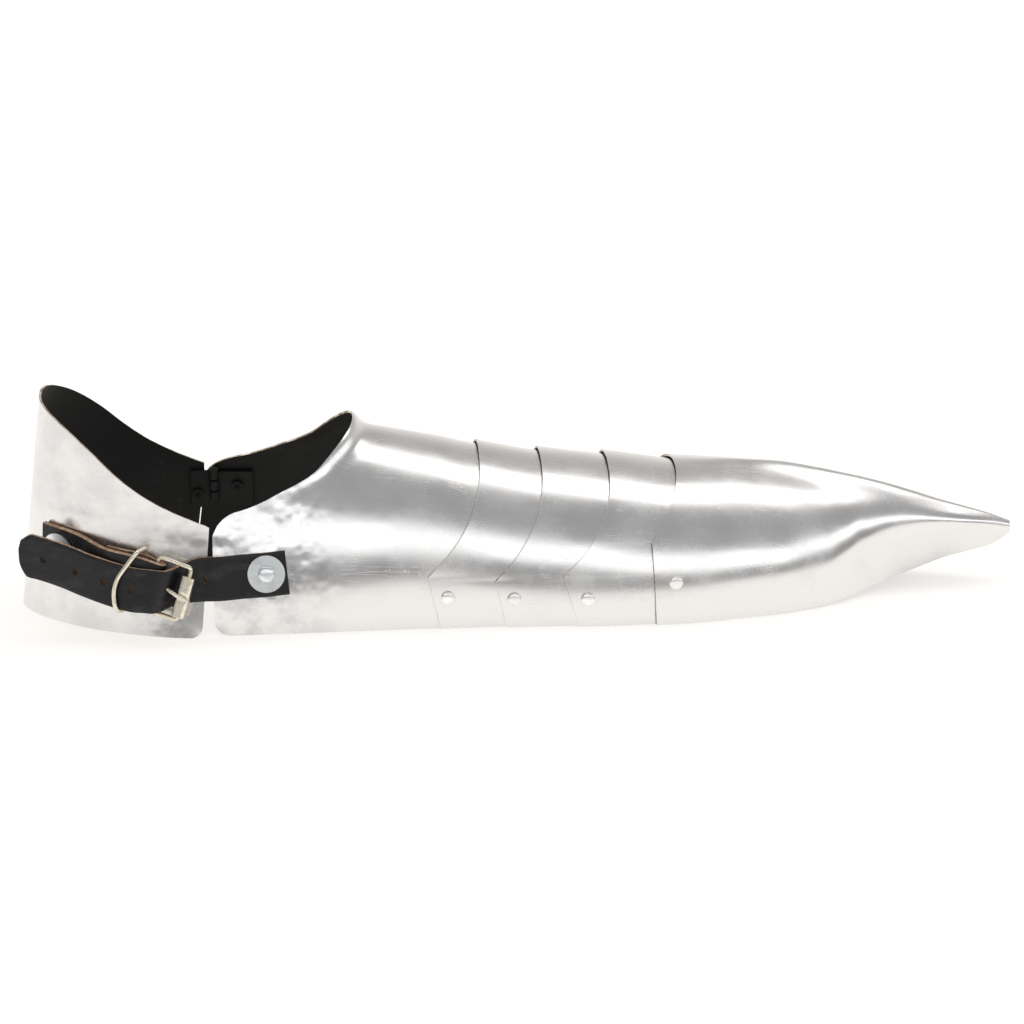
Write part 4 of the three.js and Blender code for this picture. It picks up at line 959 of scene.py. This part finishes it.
billet_stations = strap_stations(BILLET, bar_back)
last_middle, last_out = billet_stations[-1][0], billet_stations[-1][1]
for on, inward, rise, below, above in BILLET_END:
    middle = last_middle + np.array([-on, inward, rise]) * strap_width
    billet_stations.append((middle, last_out, 0.0, below, above))
ring_out = wire_radius + fit + tongue_radius
rest_out = frame_slant + roller_radius * roller_flatness + tongue_radius
prong_points = [
    on_buckle(ring_out * .25, -ring_out, tongue_lift),
    on_buckle(-ring_out * .75, -ring_out * .7, tongue_lift),
    on_buckle(-ring_out, .1, tongue_lift),
    on_buckle(-ring_out * .6, ring_out * .85, tongue_lift),
    on_buckle(ring_out * .4, ring_out, tongue_lift),
    on_buckle(tongue_slot, tongue_slot_out, tongue_lift * .5),
    on_buckle(frame_length - 3.2, rest_out - .3, -tongue_dip * .6),
    on_buckle(frame_length, rest_out, -tongue_dip),
    on_buckle(frame_length + 3, rest_out - .5, -tongue_dip - .6),
]
print("buckle bar at, mm:", (bar_centre + shift).round(1))

# %% Sweeping a strap


def smooth_line(points, steps, values=None):
    """A smooth curve through points, with steps between each two, or other values along that curve."""
    points = np.asarray(points, float)
    values = points if values is None else np.asarray(values, float).reshape(len(points), -1)
    reached = np.concatenate([[0], np.cumsum(np.linalg.norm(np.diff(points, axis=0), axis=1))])
    at = np.interp(np.arange((len(points) - 1) * steps + 1) / steps, np.arange(len(points)), reached)
    return np.stack([read_table(reached, column, at) for column in values.T], -1)


def strap_section(bare):
    """Half a breadth across and half a thickness out, in shares, with the material of each side: on a bare
    edge the skin ends before the corner, so that more of the tan inside shows."""
    across = np.linspace(-.95, .95, 15)
    skin = 1 if bare else 0
    around = [(v, 1.0, 0) for v in across[:-1]] + [(across[-1], 1.0, skin)]
    around += [(.985, .88, skin), (1, .60, 1), (1, 0, 1), (1, -.60, 1), (.985, -.88, 2)]
    around += [(v, -1.0, 2) for v in across[::-1]]
    around += [(-.985, -.88, 2), (-1, -.60, 1), (-1, 0, 1), (-1, .60, skin), (-.985, .88, skin)]
    return around


def strap_piece(name, stations, bare=False, steps=6):
    places = [s[0] for s in stations]
    middles = smooth_line(places, steps)
    outs = unit(smooth_line(places, steps, [s[1] for s in stations]))
    slants, below, above = smooth_line(places, steps, [s[2:] for s in stations]).T
    slants = np.clip(slants, 0, 1)
    tangents = unit(np.gradient(middles, axis=0))
    uprights = unit(np.cross(tangents, outs))
    uprights *= np.where(uprights[:, 2] < 0, -1, 1)[:, None]
    uprights = unit(uprights + (buckle_upright - uprights) * slants[:, None])
    across_out = unit(np.cross(uprights, tangents))
    across_out *= np.where((across_out * outs).sum(-1) < 0, -1, 1)[:, None]
    section = strap_section(bare)
    rings = []
    for up, out, _ in section:
        share = (above * (1 + up) - below * (1 - up)) / 2
        ring = middles + uprights * (share * strap_width / 2)[:, None]
        rings.append(ring + across_out * out * strap_thickness / 2)
    points = np.stack(rings, 1)
    count, sides = points.shape[:2]
    groups = [[], [], []]
    for i in range(count - 1):
        for j in range(sides):
            after = (j + 1) % sides
            face = (i * sides + j, i * sides + after, (i + 1) * sides + after, (i + 1) * sides + j)
            groups[section[j][2]].append(face)
    groups[1].append(tuple(range(sides)))
    groups[1].append(tuple((count - 1) * sides + k for k in range(sides))[::-1])
    return make_piece(name, points.reshape(-1, 3), groups, [leather, raw_edge, flesh_side]), middles


def rod_mesh(start, end, radius, sides=24):
    """A plain bar, to punch with."""
    start, end = to_frame([start, end])
    middle, way = Vector((start + end) / 2), Vector(end - start)
    mesh = bpy.data.meshes.new("punch")
    turn = Vector((0, 0, 1)).rotation_difference(way).to_matrix().to_4x4()
    with opened(mesh) as work:
        bmesh.ops.create_cone(work, cap_ends=True, segments=sides, radius1=radius * MM, radius2=radius * MM,
                              depth=way.length, matrix=Matrix.Translation(middle) @ turn)
    return mesh


def punch(piece, meshes):
    """Cuts closed meshes out of a piece, one after another, and leaves a plain mesh."""
    for mesh in meshes:
        # Cut faces take the dark flesh side: real leather on the hole walls, painted shade on the floors of
        # the blind holes.
        mesh.materials.append(flesh_side)
        tool = new_object("punch", mesh)
        cut = piece.modifiers.new("punch", "BOOLEAN")
        cut.object = tool
        cut.solver = "EXACT"
        cut.material_mode = "TRANSFER"
        graph = bpy.context.evaluated_depsgraph_get()
        result = bpy.data.meshes.new_from_object(piece.evaluated_get(graph))
        piece.modifiers.remove(cut)
        piece.data = result
        bpy.data.objects.remove(tool)
    assert piece.data.polygons, piece.name
    return piece


# %% The holed strap
billet, billet_line = strap_piece("leather_billet", billet_stations)
# Each hole stops this far behind the strap's middle, so its dark floor is painted shade behind the strap.
painted_shade_depth, prong_hole_room = .9, .5


def billet_hole(back):
    """The holes end inside the leather: their dark flesh-side floor is painted shade, put where an open hole
    would show the shade behind the strap.
    """
    k = int(np.argmin(np.abs(-billet_line[:, 0] - back)))
    ahead = unit(billet_line[min(k + 1, len(billet_line) - 1)] - billet_line[k - 1])
    out = unit(np.array([-ahead[1], ahead[0], 0.0]))
    out = out * np.sign(-out[1])
    return billet_line[k] - out * painted_shade_depth, billet_line[k] + out * 3


punches = [rod_mesh(*billet_hole(share * tongue_back), hole_radius) for share in EMPTY_HOLES]
punches += [rod_mesh(prong_points[k], prong_points[k + 1], tongue_radius + prong_hole_room) for k in (4, 5)]
punch(billet, punches)
place_piece(billet, "shoe", "leather", "billet_strap")

# %% The buckle's strap, which turns round the bar and comes back under itself
turn_radius = wire_radius + fit + strap_thickness / 2
stations = strap_stations(BUCKLE_STRAP, heel_length)
for angle in np.linspace(np.pi / 2, -np.pi / 2, 9):
    out = buckle_along * math.cos(angle) + buckle_out * math.sin(angle)
    middle = on_buckle(turn_radius * math.cos(angle), turn_radius * math.sin(angle), 0)
    stations.append((middle, out, 1.0, 1.0, 1.0))
for back, off, up in FOLD:
    point, normal = wall_frame(back * heel_length, up * heel_side_height)
    stations.append((point + normal * off * strap_thickness, -normal, 0.0, 1.0, 1.0))
buckle_strap, _ = strap_piece("leather_buckle_strap", stations, bare=True)


def slot_mesh(length, height):
    mesh = bpy.data.meshes.new("slot")
    with opened(mesh) as work:
        bmesh.ops.create_cube(work, size=1.0)
        for vert in work.verts:
            corner = on_buckle(vert.co.x * length, vert.co.y * length, vert.co.z * height + tongue_lift)
            vert.co = Vector(to_frame(corner)[0])
        bmesh.ops.recalc_face_normals(work, faces=work.faces)
    return mesh


punch(buckle_strap, [slot_mesh(9.0, 4.0)])
place_piece(buckle_strap, "shoe", "leather", "buckle_strap")

# %% [markdown]
# ## Buckle and keeper
# The buckle is bent from 2 mm wire round a bar, with a rolled sheet on the far side for the strap to slide
# over and a prong that hooks round the bar. The keeper is a bent loop. All are tubes along a line, so one
# helper carries a circle along a path, turning it as little as it can.

# %% Tubes along a line


def tube_points(line, radii, sides=14, closed=False):
    line = np.asarray(line, float)
    count = len(line)
    radii = np.zeros(count) + radii
    ahead = np.roll(line, -1, 0) - np.roll(line, 1, 0)
    if not closed:
        ahead[0], ahead[-1] = line[1] - line[0], line[-1] - line[-2]
    ahead = unit(ahead)
    first = np.cross(ahead[0], (0, 0, 1) if abs(ahead[0][2]) < .9 else (1, 0, 0))
    normals = [unit(first)]
    for k in range(1, count):
        carried = normals[-1] - ahead[k] * np.dot(normals[-1], ahead[k])
        normals.append(unit(carried))
    normals = np.array(normals)
    if closed:
        end = normals[-1] - ahead[0] * np.dot(normals[-1], ahead[0])
        twist = math.atan2(np.dot(np.cross(normals[0], unit(end)), ahead[0]), np.dot(normals[0], unit(end)))
        turn = -twist * np.arange(count) / count
        other = np.cross(ahead, normals)
        normals = normals * np.cos(turn)[:, None] + other * np.sin(turn)[:, None]
    others = np.cross(ahead, normals)
    angles = 2 * np.pi * np.arange(sides) / sides
    rings = [line + (normals * math.cos(a) + others * math.sin(a)) * radii[:, None] for a in angles]
    return np.stack(rings, 1)


def ring_faces(count, sides, closed):
    faces = []
    for i in range(count if closed else count - 1):
        here, following = i * sides, (i + 1) % count * sides
        for j in range(sides):
            after = (j + 1) % sides
            faces.append((here + j, here + after, following + after, following + j))
    if not closed:
        faces.append(tuple(range(sides))[::-1])
        faces.append(tuple(range((count - 1) * sides, count * sides)))
    return faces


def tube_piece(name, line, radii, material, sides=14, closed=False):
    points = tube_points(line, radii, sides, closed)
    faces = ring_faces(points.shape[0], sides, closed)
    return make_piece(name, points.reshape(-1, 3), [faces], [material])


def rounded_ring(corners, rounds, steps=10):
    """A closed line through corners, each rounded by its own length."""
    line = []
    count = len(corners)
    for k in range(count):
        here, before, after = corners[k], corners[k - 1], corners[(k + 1) % count]
        start = here + unit(before - here) * rounds[k]
        end = here + unit(after - here) * rounds[k]
        for t in np.linspace(0, 1, steps):
            line.append(start * (1 - t) ** 2 + here * 2 * t * (1 - t) + end * t ** 2)
    spaced = [line[0]]
    for point in line[1:] + [line[0]]:
        gap = np.linalg.norm(point - spaced[-1])
        pieces = max(int(gap // 1.5), 1)
        spaced += [spaced[-1] + (point - spaced[-1]) * (n + 1) / pieces for n in range(pieces)]
    return np.array(spaced[:-1])


# %% Frame, roller, prong and keeper
half = frame_height / 2
frame_corners = [on_buckle(0, 0, half), on_buckle(frame_length, frame_slant, half),
                 on_buckle(frame_length, frame_slant, -half), on_buckle(0, 0, -half)]
frame_line = rounded_ring(frame_corners, [frame_round] * 4)
buckle_frame = tube_piece("buckle_wire", frame_line, wire_radius, nickel, closed=True)
place_piece(buckle_frame, "shoe", "buckle_metal", "buckle_frame")


def roller_piece():
    """A sheet folded round the far wire: flat in front, with a small dent worn by the prong."""
    length = frame_height - 2 * wire_radius - roller_room
    squareness = 6.0
    dent_depth, dent_breadth, dent_up = .35, 1.2, roller_slide - tongue_dip
    sides, steps = 40, 36
    across = unit(buckle_along + buckle_out * frame_slant / frame_length * .3)
    out = unit(np.cross(across, buckle_upright))
    out = out if np.dot(out, buckle_out) > 0 else -out
    up = np.linspace(-length / 2, length / 2, steps)[:, None]
    angles = 2 * np.pi * np.arange(sides) / sides
    c, s = np.cos(angles), np.sin(angles)
    reach = roller_radius / (np.abs(c) ** squareness + np.abs(s) ** squareness) ** (1 / squareness)
    dent = dent_depth * np.exp(-((up - dent_up) / dent_breadth) ** 2)
    reach = reach - dent * np.maximum(s, 0)
    middles = on_buckle(frame_length, frame_slant, -roller_slide) + buckle_upright * up[..., None]
    outer = middles + (across * c[:, None] + out * s[:, None] * roller_flatness) * reach[..., None]
    inner = middles + (across * c[:, None] + out * s[:, None]) * (wire_radius + fit)
    count = steps * sides
    faces = [f for f in ring_faces(steps, sides, False) if len(f) == 4]
    faces += [tuple(v + count for v in f)[::-1] for f in faces]
    for row in (0, steps - 1):
        for k in range(sides):
            a, b = row * sides + k, row * sides + (k + 1) % sides
            faces.append((a, b, b + count, a + count))
    points = np.concatenate([outer.reshape(-1, 3), inner.reshape(-1, 3)])
    return make_piece("buckle_roller_sheet", points, [faces], [nickel])


roller = break_edge(roller_piece(), .25)
place_piece(roller, "shoe", "buckle_metal", "buckle_roller")

prong_line = smooth_line(prong_points, 8)
prong_radii = tongue_radius * np.interp(np.linspace(0, 1, len(prong_line)), [0, .8, 1], [1, 1, .55])
prong = tube_piece("buckle_prong", prong_line, prong_radii, nickel)
place_piece(prong, "shoe", "buckle_metal", "buckle_tongue")

# %% The wire loop that holds both straps
keeper_corners, keeper_rounds = [], []
for back, up, off, round_share in KEEPER:
    point, normal = wall_frame(back * heel_length, up * heel_side_height)
    keeper_corners.append(point + normal * off * strap_thickness)
    keeper_rounds.append(round_share * wire_radius)
keeper_line = rounded_ring(keeper_corners, keeper_rounds)
keeper = tube_piece("keeper_wire", keeper_line, wire_radius, nickel, closed=True)
place_piece(keeper, "shoe", "buckle_metal", "keeper_loop")

# %% [markdown]
# ## Rivets and washers
# Every rivet here is the same thing in another size: a shank, a tail on the inside and a domed head on the
# outside, some with a washer under the head. That is work for Geometry Nodes: points that know which way is
# out, one rivet drawn in the tree, and an instance on each point. The instances are made real and the result
# becomes one plain mesh for each body.

# %% The rivet tree
RIVET_SIZES = (
    "Head Radius", "Head Height", "Head From", "Shank Radius", "Tail From", "Tail Radius", "Tail Height",
    "Washer Radius", "Washer From", "Washer Thickness",
)
head_sharpness = .72


def make_rivet_tree():
    inputs = [("Points", "NodeSocketGeometry", None)]
    inputs += [(title, "NodeSocketFloat", None) for title in RIVET_SIZES]
    inputs += [("Finish", "NodeSocketMaterial", None), ("Inside Finish", "NodeSocketMaterial", None)]
    tree, given, put = new_group("rivet_rows", inputs, [("Rivets", "NodeSocketGeometry")], "GeometryNodeTree")
    size = given.outputs

    def make(kind, values=None, **settings):
        return add_node(tree, kind, values, **settings).outputs[0]

    def raised(geometry, height):
        vector = make("ShaderNodeCombineXYZ", {"Z": height})
        return make("GeometryNodeTransform", {"Geometry": geometry, "Translation": vector})

    def disc(radius, thickness, start):
        cylinder = make("GeometryNodeMeshCylinder", {"Vertices": 40, "Radius": radius, "Depth": thickness})
        return raised(cylinder, add_up(tree, start, times(tree, thickness, .5)))

    def dome(radius, height, start):
        """The upper half of a ball, flattened, with a flat underside."""
        ball = make("GeometryNodeMeshUVSphere", {"Segments": 40, "Rings": 20, "Radius": 1.0})
        x, y, z = parts_of(tree, make("GeometryNodeInputPosition"))
        up = calculate(tree, "POWER", calculate(tree, "MAXIMUM", z, 0.0), head_sharpness)
        corner = {0: times(tree, x, radius), 1: times(tree, y, radius), 2: times(tree, up, height)}
        moved = {"Geometry": ball, "Position": make("ShaderNodeCombineXYZ", corner)}
        return raised(make("GeometryNodeSetPosition", moved), start)

    def joined(*parts):
        node = add_node(tree, "GeometryNodeJoinGeometry")
        for part in parts:
            tree.links.new(part, node.inputs[0])
        return node.outputs[0]

    def attribute(name, kind):
        return make("GeometryNodeInputNamedAttribute", {"Name": name}, data_type=kind)

    head = dome(size["Head Radius"], size["Head Height"], size["Head From"])
    wanted = make("FunctionNodeCompare", {0: size["Washer Radius"], 1: 0.0})
    disc_under_head = disc(size["Washer Radius"], size["Washer Thickness"], size["Washer From"])
    washer = make("GeometryNodeSwitch", {"Switch": wanted, "True": disc_under_head})
    shank_length = calculate(tree, "SUBTRACT", size["Head From"], size["Tail From"])
    shank = disc(size["Shank Radius"], shank_length, size["Tail From"])
    tail = disc(size["Tail Radius"], size["Tail Height"], size["Tail From"])
    marked = {"Geometry": joined(shank, tail), "Name": "inside", "Value": True}
    inside = make("GeometryNodeStoreNamedAttribute", marked, data_type="BOOLEAN", domain="FACE")
    aim = make("FunctionNodeAlignRotationToVector", {"Vector": attribute("out", "FLOAT_VECTOR")}, axis="Z")
    rows = {"Points": size["Points"], "Instance": joined(head, washer, inside), "Rotation": aim}
    real = make("GeometryNodeRealizeInstances", {"Geometry": make("GeometryNodeInstanceOnPoints", rows)})
    smooth = make("GeometryNodeSetShadeSmooth", {"Geometry": real, "Shade Smooth": True})
    bright = make("GeometryNodeSetMaterial", {"Geometry": smooth, "Material": size["Finish"]})
    is_inside = attribute("inside", "BOOLEAN")
    painted = {"Geometry": bright, "Selection": is_inside, "Material": size["Inside Finish"]}
    tree.links.new(make("GeometryNodeSetMaterial", painted), put.inputs[0])
    return tree


rivet_tree = make_rivet_tree()

# %% Setting rivets


def set_rivets(name, places, sizes, body, nodes, finish=zinc):
    """places are (point, outward); sizes are the tree's named inputs in millimetres from the point."""
    mesh = bpy.data.meshes.new(name)
    mesh.from_pydata([tuple(p) for p in to_frame([point for point, _ in places])], [], [])
    out = mesh.attributes.new("out", "FLOAT_VECTOR", "POINT")
    out.data.foreach_set("vector", np.array([way for _, way in places], float).ravel())
    rows = new_object(name + "_points", mesh)
    modifier = rows.modifiers.new("rivets", "NODES")
    modifier.node_group = rivet_tree
    values = {title: size * MM for title, size in sizes.items()}
    values.update({"Finish": finish, "Inside Finish": black_paint})
    for item in rivet_tree.interface.items_tree:
        if item.name in values:
            modifier[item.identifier] = values[item.name]
    graph = bpy.context.evaluated_depsgraph_get()
    result = bpy.data.meshes.new_from_object(rows.evaluated_get(graph))
    result.name = name
    bpy.data.objects.remove(rows)
    with opened(result) as work:
        for edge in work.edges:
            edge.smooth = len(edge.link_faces) == 2 and edge.calc_face_angle(0) < math.radians(50)
    return place_piece(new_object(name, result), body, "zinc", *nodes)


def outside_at(x, z, lift):
    row = row_at_height(x, z)
    return abs(float(form_point(x, row, -1)[1])) + float(lift(np.asarray(x, float), row))


pivot_sizes = {
    "Head Radius": 3.0, "Head Height": 1.4, "Shank Radius": 1.5, "Tail Radius": 2.5, "Tail Height": .8,
}
for index, name in enumerate(ORDER):
    lame = lame_sizes(name)
    outside = outside_at(lame["pivot"], lame["pivot_up"], lame_lift(name))
    under = (lambda x, row: 0 * x) if index == 0 else lame_lift(ORDER[index - 1])
    inside = outside_at(lame["pivot"], lame["pivot_up"], under) - sheet
    places = [(np.array([lame["pivot"], side * outside, lame["pivot_up"]]), (0, side, 0)) for side in (-1, 1)]
    tail_from = inside - seat - pivot_sizes["Tail Height"] - outside
    sizes = dict(pivot_sizes, **{"Head From": fit, "Tail From": tail_from})
    nodes = [name + "_rivet_near", name + "_rivet_far"]
    set_rivets(name + "_rivets", places, sizes, name, nodes, rivet_steel)

# %% The two strap rivets, with their washers
FASTENINGS = (("billet", BILLET[1], bar_back, 0.0), ("buckle_strap", BUCKLE_STRAP[1], heel_length, 1.0))
washer_thickness, strap_tail_height = 1.0, .8
for name, row, reach, drop in FASTENINGS:
    place = wall_frame(row[0] * reach, row[2] * heel_side_height - drop)
    washer_from = (row[1] + .5) * strap_thickness + fit
    sizes = {
        "Head Radius": 3.5, "Head Height": 1.8, "Head From": washer_from + washer_thickness + fit,
        "Shank Radius": 1.8, "Tail Radius": 3.0, "Tail Height": strap_tail_height,
        "Tail From": -sheet - seat - strap_tail_height,
        "Washer Radius": 8.0, "Washer From": washer_from, "Washer Thickness": washer_thickness,
    }
    set_rivets(name + "_fastening", [place], sizes, "shoe", [name + "_washer", name + "_rivet"])

# %% [markdown]
# ## The hinge
# On the far side a small hinge, painted black with the inside of the plates, joins heel plate and vamp. Each
# leaf lies inside its plate and ends in knuckles round a pin. The leaves are patches of the same walls, moved
# inwards.

# %% Hinge
leaf_thickness, leaf_bottom, leaf_top = 1.2, 27.0, 45.0
leaf_length, heel_leaf_length = 17.0, 11.5
barrel_along, barrel_radius, barrel_pin_radius = -.8, 2.2, 1.0
barrel_top, barrel_bottom = 47.5, 31.0


def hinge_axis(height):
    point, normal = vamp_wall(0, height, 1)
    point = point - normal * (sheet + seat + barrel_radius)
    point[0] = barrel_along
    return point


def leaf_grids(wall, along):
    outer, inner = [], []
    for height in np.linspace(leaf_bottom, leaf_top, 12):
        places = [wall(at, height, 1) for at in along]
        outer.append([p - n * (sheet + seat) for p, n in places])
        inner.append([p - n * (sheet + seat + leaf_thickness) for p, n in places])
    return np.array(outer), np.array(inner)


def barrel_line(start, end, count):
    foot, top = hinge_axis(barrel_bottom), hinge_axis(barrel_top)
    return [foot + (top - foot) * t for t in np.linspace(start, end, count)]


def leaf_piece(name, wall, along, knuckles):
    """knuckles are the stretches of the barrel, from its foot, that belong to this leaf."""
    sides, rings = 24, 5
    leaf = sheet_piece(name, *leaf_grids(wall, along), [black_paint] * 3)
    with opened(leaf.data) as work:
        for start, end in knuckles:
            points = tube_points(barrel_line(start, end, rings), barrel_radius, sides)
            verts = [work.verts.new(p) for p in to_frame(points)]
            for face in ring_faces(rings, sides, False):
                work.faces.new([verts[v] for v in face]).smooth = len(face) == 4
        bmesh.ops.recalc_face_normals(work, faces=work.faces)
    return leaf


FRONT_LEAF_ALONG = (barrel_along + .6, 1.5, 4, 6, 8, 10, 12, 14.5, leaf_length)
HEEL_LEAF_ALONG = (-barrel_along + .6, 3, 6, 8.5, heel_leaf_length)
leaf_break, pin_end = .25, .3
front_leaf = leaf_piece("hinge_front", vamp_wall, FRONT_LEAF_ALONG, [(.345, .655)])
place_piece(break_edge(front_leaf, leaf_break), "shoe", "black_metal", "hinge_leaf_front")
heel_leaf = leaf_piece("hinge_heel", heel_wall, HEEL_LEAF_ALONG, [(0, .30), (.70, 1)])
place_piece(break_edge(heel_leaf, leaf_break), "shoe", "black_metal", "hinge_leaf_heel")
past = pin_end / np.linalg.norm(hinge_axis(barrel_top) - hinge_axis(barrel_bottom))
pin = tube_piece("hinge_rod", barrel_line(-past, 1 + past, 4), barrel_pin_radius, black_paint, 20)
place_piece(break_edge(pin), "shoe", "black_metal", "hinge_pin")
leaf_tail_height = .8
leaf_rivet_sizes = {
    "Head Radius": 2.5, "Head Height": .8, "Head From": fit, "Shank Radius": 1.5, "Tail Radius": 2.5,
    "Tail Height": leaf_tail_height, "Tail From": -sheet - seat - leaf_thickness - seat - leaf_tail_height,
}
front_rivet_height, heel_rivet_height = 38, 34
leaf_rivets = [vamp_wall(leaf_length * .58, front_rivet_height, 1)]
leaf_rivets += [heel_wall(heel_leaf_length * .72, heel_rivet_height, 1)]
set_rivets("hinge_rivets", leaf_rivets, leaf_rivet_sizes, "shoe", ["hinge_rivet_front", "hinge_rivet_heel"])

# %% [markdown]
# ## The studio
# Polished metal is only as good as what it reflects. The shoe stands on a white floor. One long softbox in
# front gives the broad pale band low on the plates, a flatter one off the toe carries it on along the point,
# and another over the back gives the bright band near the crest. The grey room between them gives the dark
# bands. The softboxes are longer than the shoe, so the bands run its whole length.

# %% Floor, room and softboxes
floor_reach = 6.0


def make_floor():
    mesh = bpy.data.meshes.new("studio_floor")
    corners = [(x * floor_reach, y * floor_reach, 0) for x, y in ((-1, -1), (1, -1), (1, 1), (-1, 1))]
    mesh.from_pydata(corners, [], [(0, 1, 2, 3)])
    material, tree, shader, place = new_material("pale_floor", .9)
    across = parts_of(tree, place)[1]
    glow = add_up(tree, spread(tree, across, -2.2, -.2, .36, .70), spread(tree, across, .3, 2.5, 0, .18))
    tree.links.new(glow, shader.inputs["Emission Strength"])
    shader.inputs["Base Color"].default_value = (.50, .495, .485, 1)
    shader.inputs["Emission Color"].default_value = (1, .975, .945, 1)
    shader.inputs["Specular IOR Level"].default_value = 0
    mesh.materials.append(material)
    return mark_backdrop(new_object("studio_floor", mesh))


def make_room():
    """Grey walls, with a paler and warmer one behind the shoe that darkens upwards."""
    world = bpy.data.worlds.new("studio_room")
    world.use_nodes = True
    tree = world.node_tree
    _, backwards, upwards = parts_of(tree, add_node(tree, "ShaderNodeTexCoord").outputs["Generated"])
    behind = spread(tree, backwards, -.1, .25)
    front_wall = spread(tree, upwards, 0, .35, .24, .38)
    back_wall = spread(tree, upwards, -.02, .6, .92, .46)
    level = add_node(tree, "ShaderNodeMix", {0: behind, 2: front_wall, 3: back_wall}).outputs[0]
    background = tree.nodes["Background"]
    tree.links.new(mix_colour(tree, behind, (.985, .99, 1), (1, .975, .95)), background.inputs["Color"])
    tree.links.new(level, background.inputs["Strength"])
    bpy.context.scene.world = world


def softbox(name, elevation, spread_angle, length, radiance, distance=2.2, bearing=0.0):
    """A long panel seen from the shoe at an elevation that runs from the front over the top."""
    angle, turn = math.radians(elevation), math.radians(bearing)
    height = 2 * distance * math.tan(math.radians(spread_angle / 2))
    light = bpy.data.lights.new(name, "AREA")
    light.shape = "RECTANGLE"
    light.size, light.size_y = length, height
    light.energy = radiance * math.pi * length * height
    box = new_object(name, light)
    way = Vector((math.sin(turn) * math.cos(angle), -math.cos(turn) * math.cos(angle), math.sin(angle)))
    box.location = way * distance
    across = Vector((math.cos(turn), math.sin(turn), 0))
    up = way.cross(across)
    box.rotation_euler = Matrix((across, up, way)).transposed().to_euler()
    print(f"{name}: {length:.1f} x {height:.2f} m")


make_floor()
make_room()
softbox("softbox_front", 30.5, 23, 4.0, 1.1)
softbox("softbox_toe", 24, 14, 2.4, 1.15, bearing=72)
softbox("softbox_over_back", 108, 24, 3.4, 1.5)

# %% [markdown]
# ## The camera
# The photograph was taken from a little above the shoe and slightly towards the heel, with a long lens. The
# camera is built from those angles, aims at the middle of the shoe, and shifts its frame a little.

# %% Camera
camera_azimuth, camera_elevation, camera_roll = map(math.radians, (-4, 16, .2))
camera_distance = 1.5
aim = Vector((-.003477, .004332, .045))
back = Vector((math.sin(camera_azimuth) * math.cos(camera_elevation),
               -math.cos(camera_azimuth) * math.cos(camera_elevation), math.sin(camera_elevation)))
right = Vector((math.cos(camera_azimuth), math.sin(camera_azimuth), 0))
up = back.cross(right)
rolled_right = right * math.cos(camera_roll) - up * math.sin(camera_roll)
rolled_up = up * math.cos(camera_roll) + right * math.sin(camera_roll)
lens = bpy.data.cameras.new("camera")
lens.lens = 118.65
lens.sensor_width = 36
lens.shift_y = -.0198
camera = new_object("camera", lens)
turn = Matrix((rolled_right, rolled_up, back)).transposed().to_4x4()
camera.matrix_world = Matrix.Translation(aim + back * camera_distance) @ turn
bpy.context.scene.camera = camera
bpy.context.scene.view_settings.view_transform = "Standard"
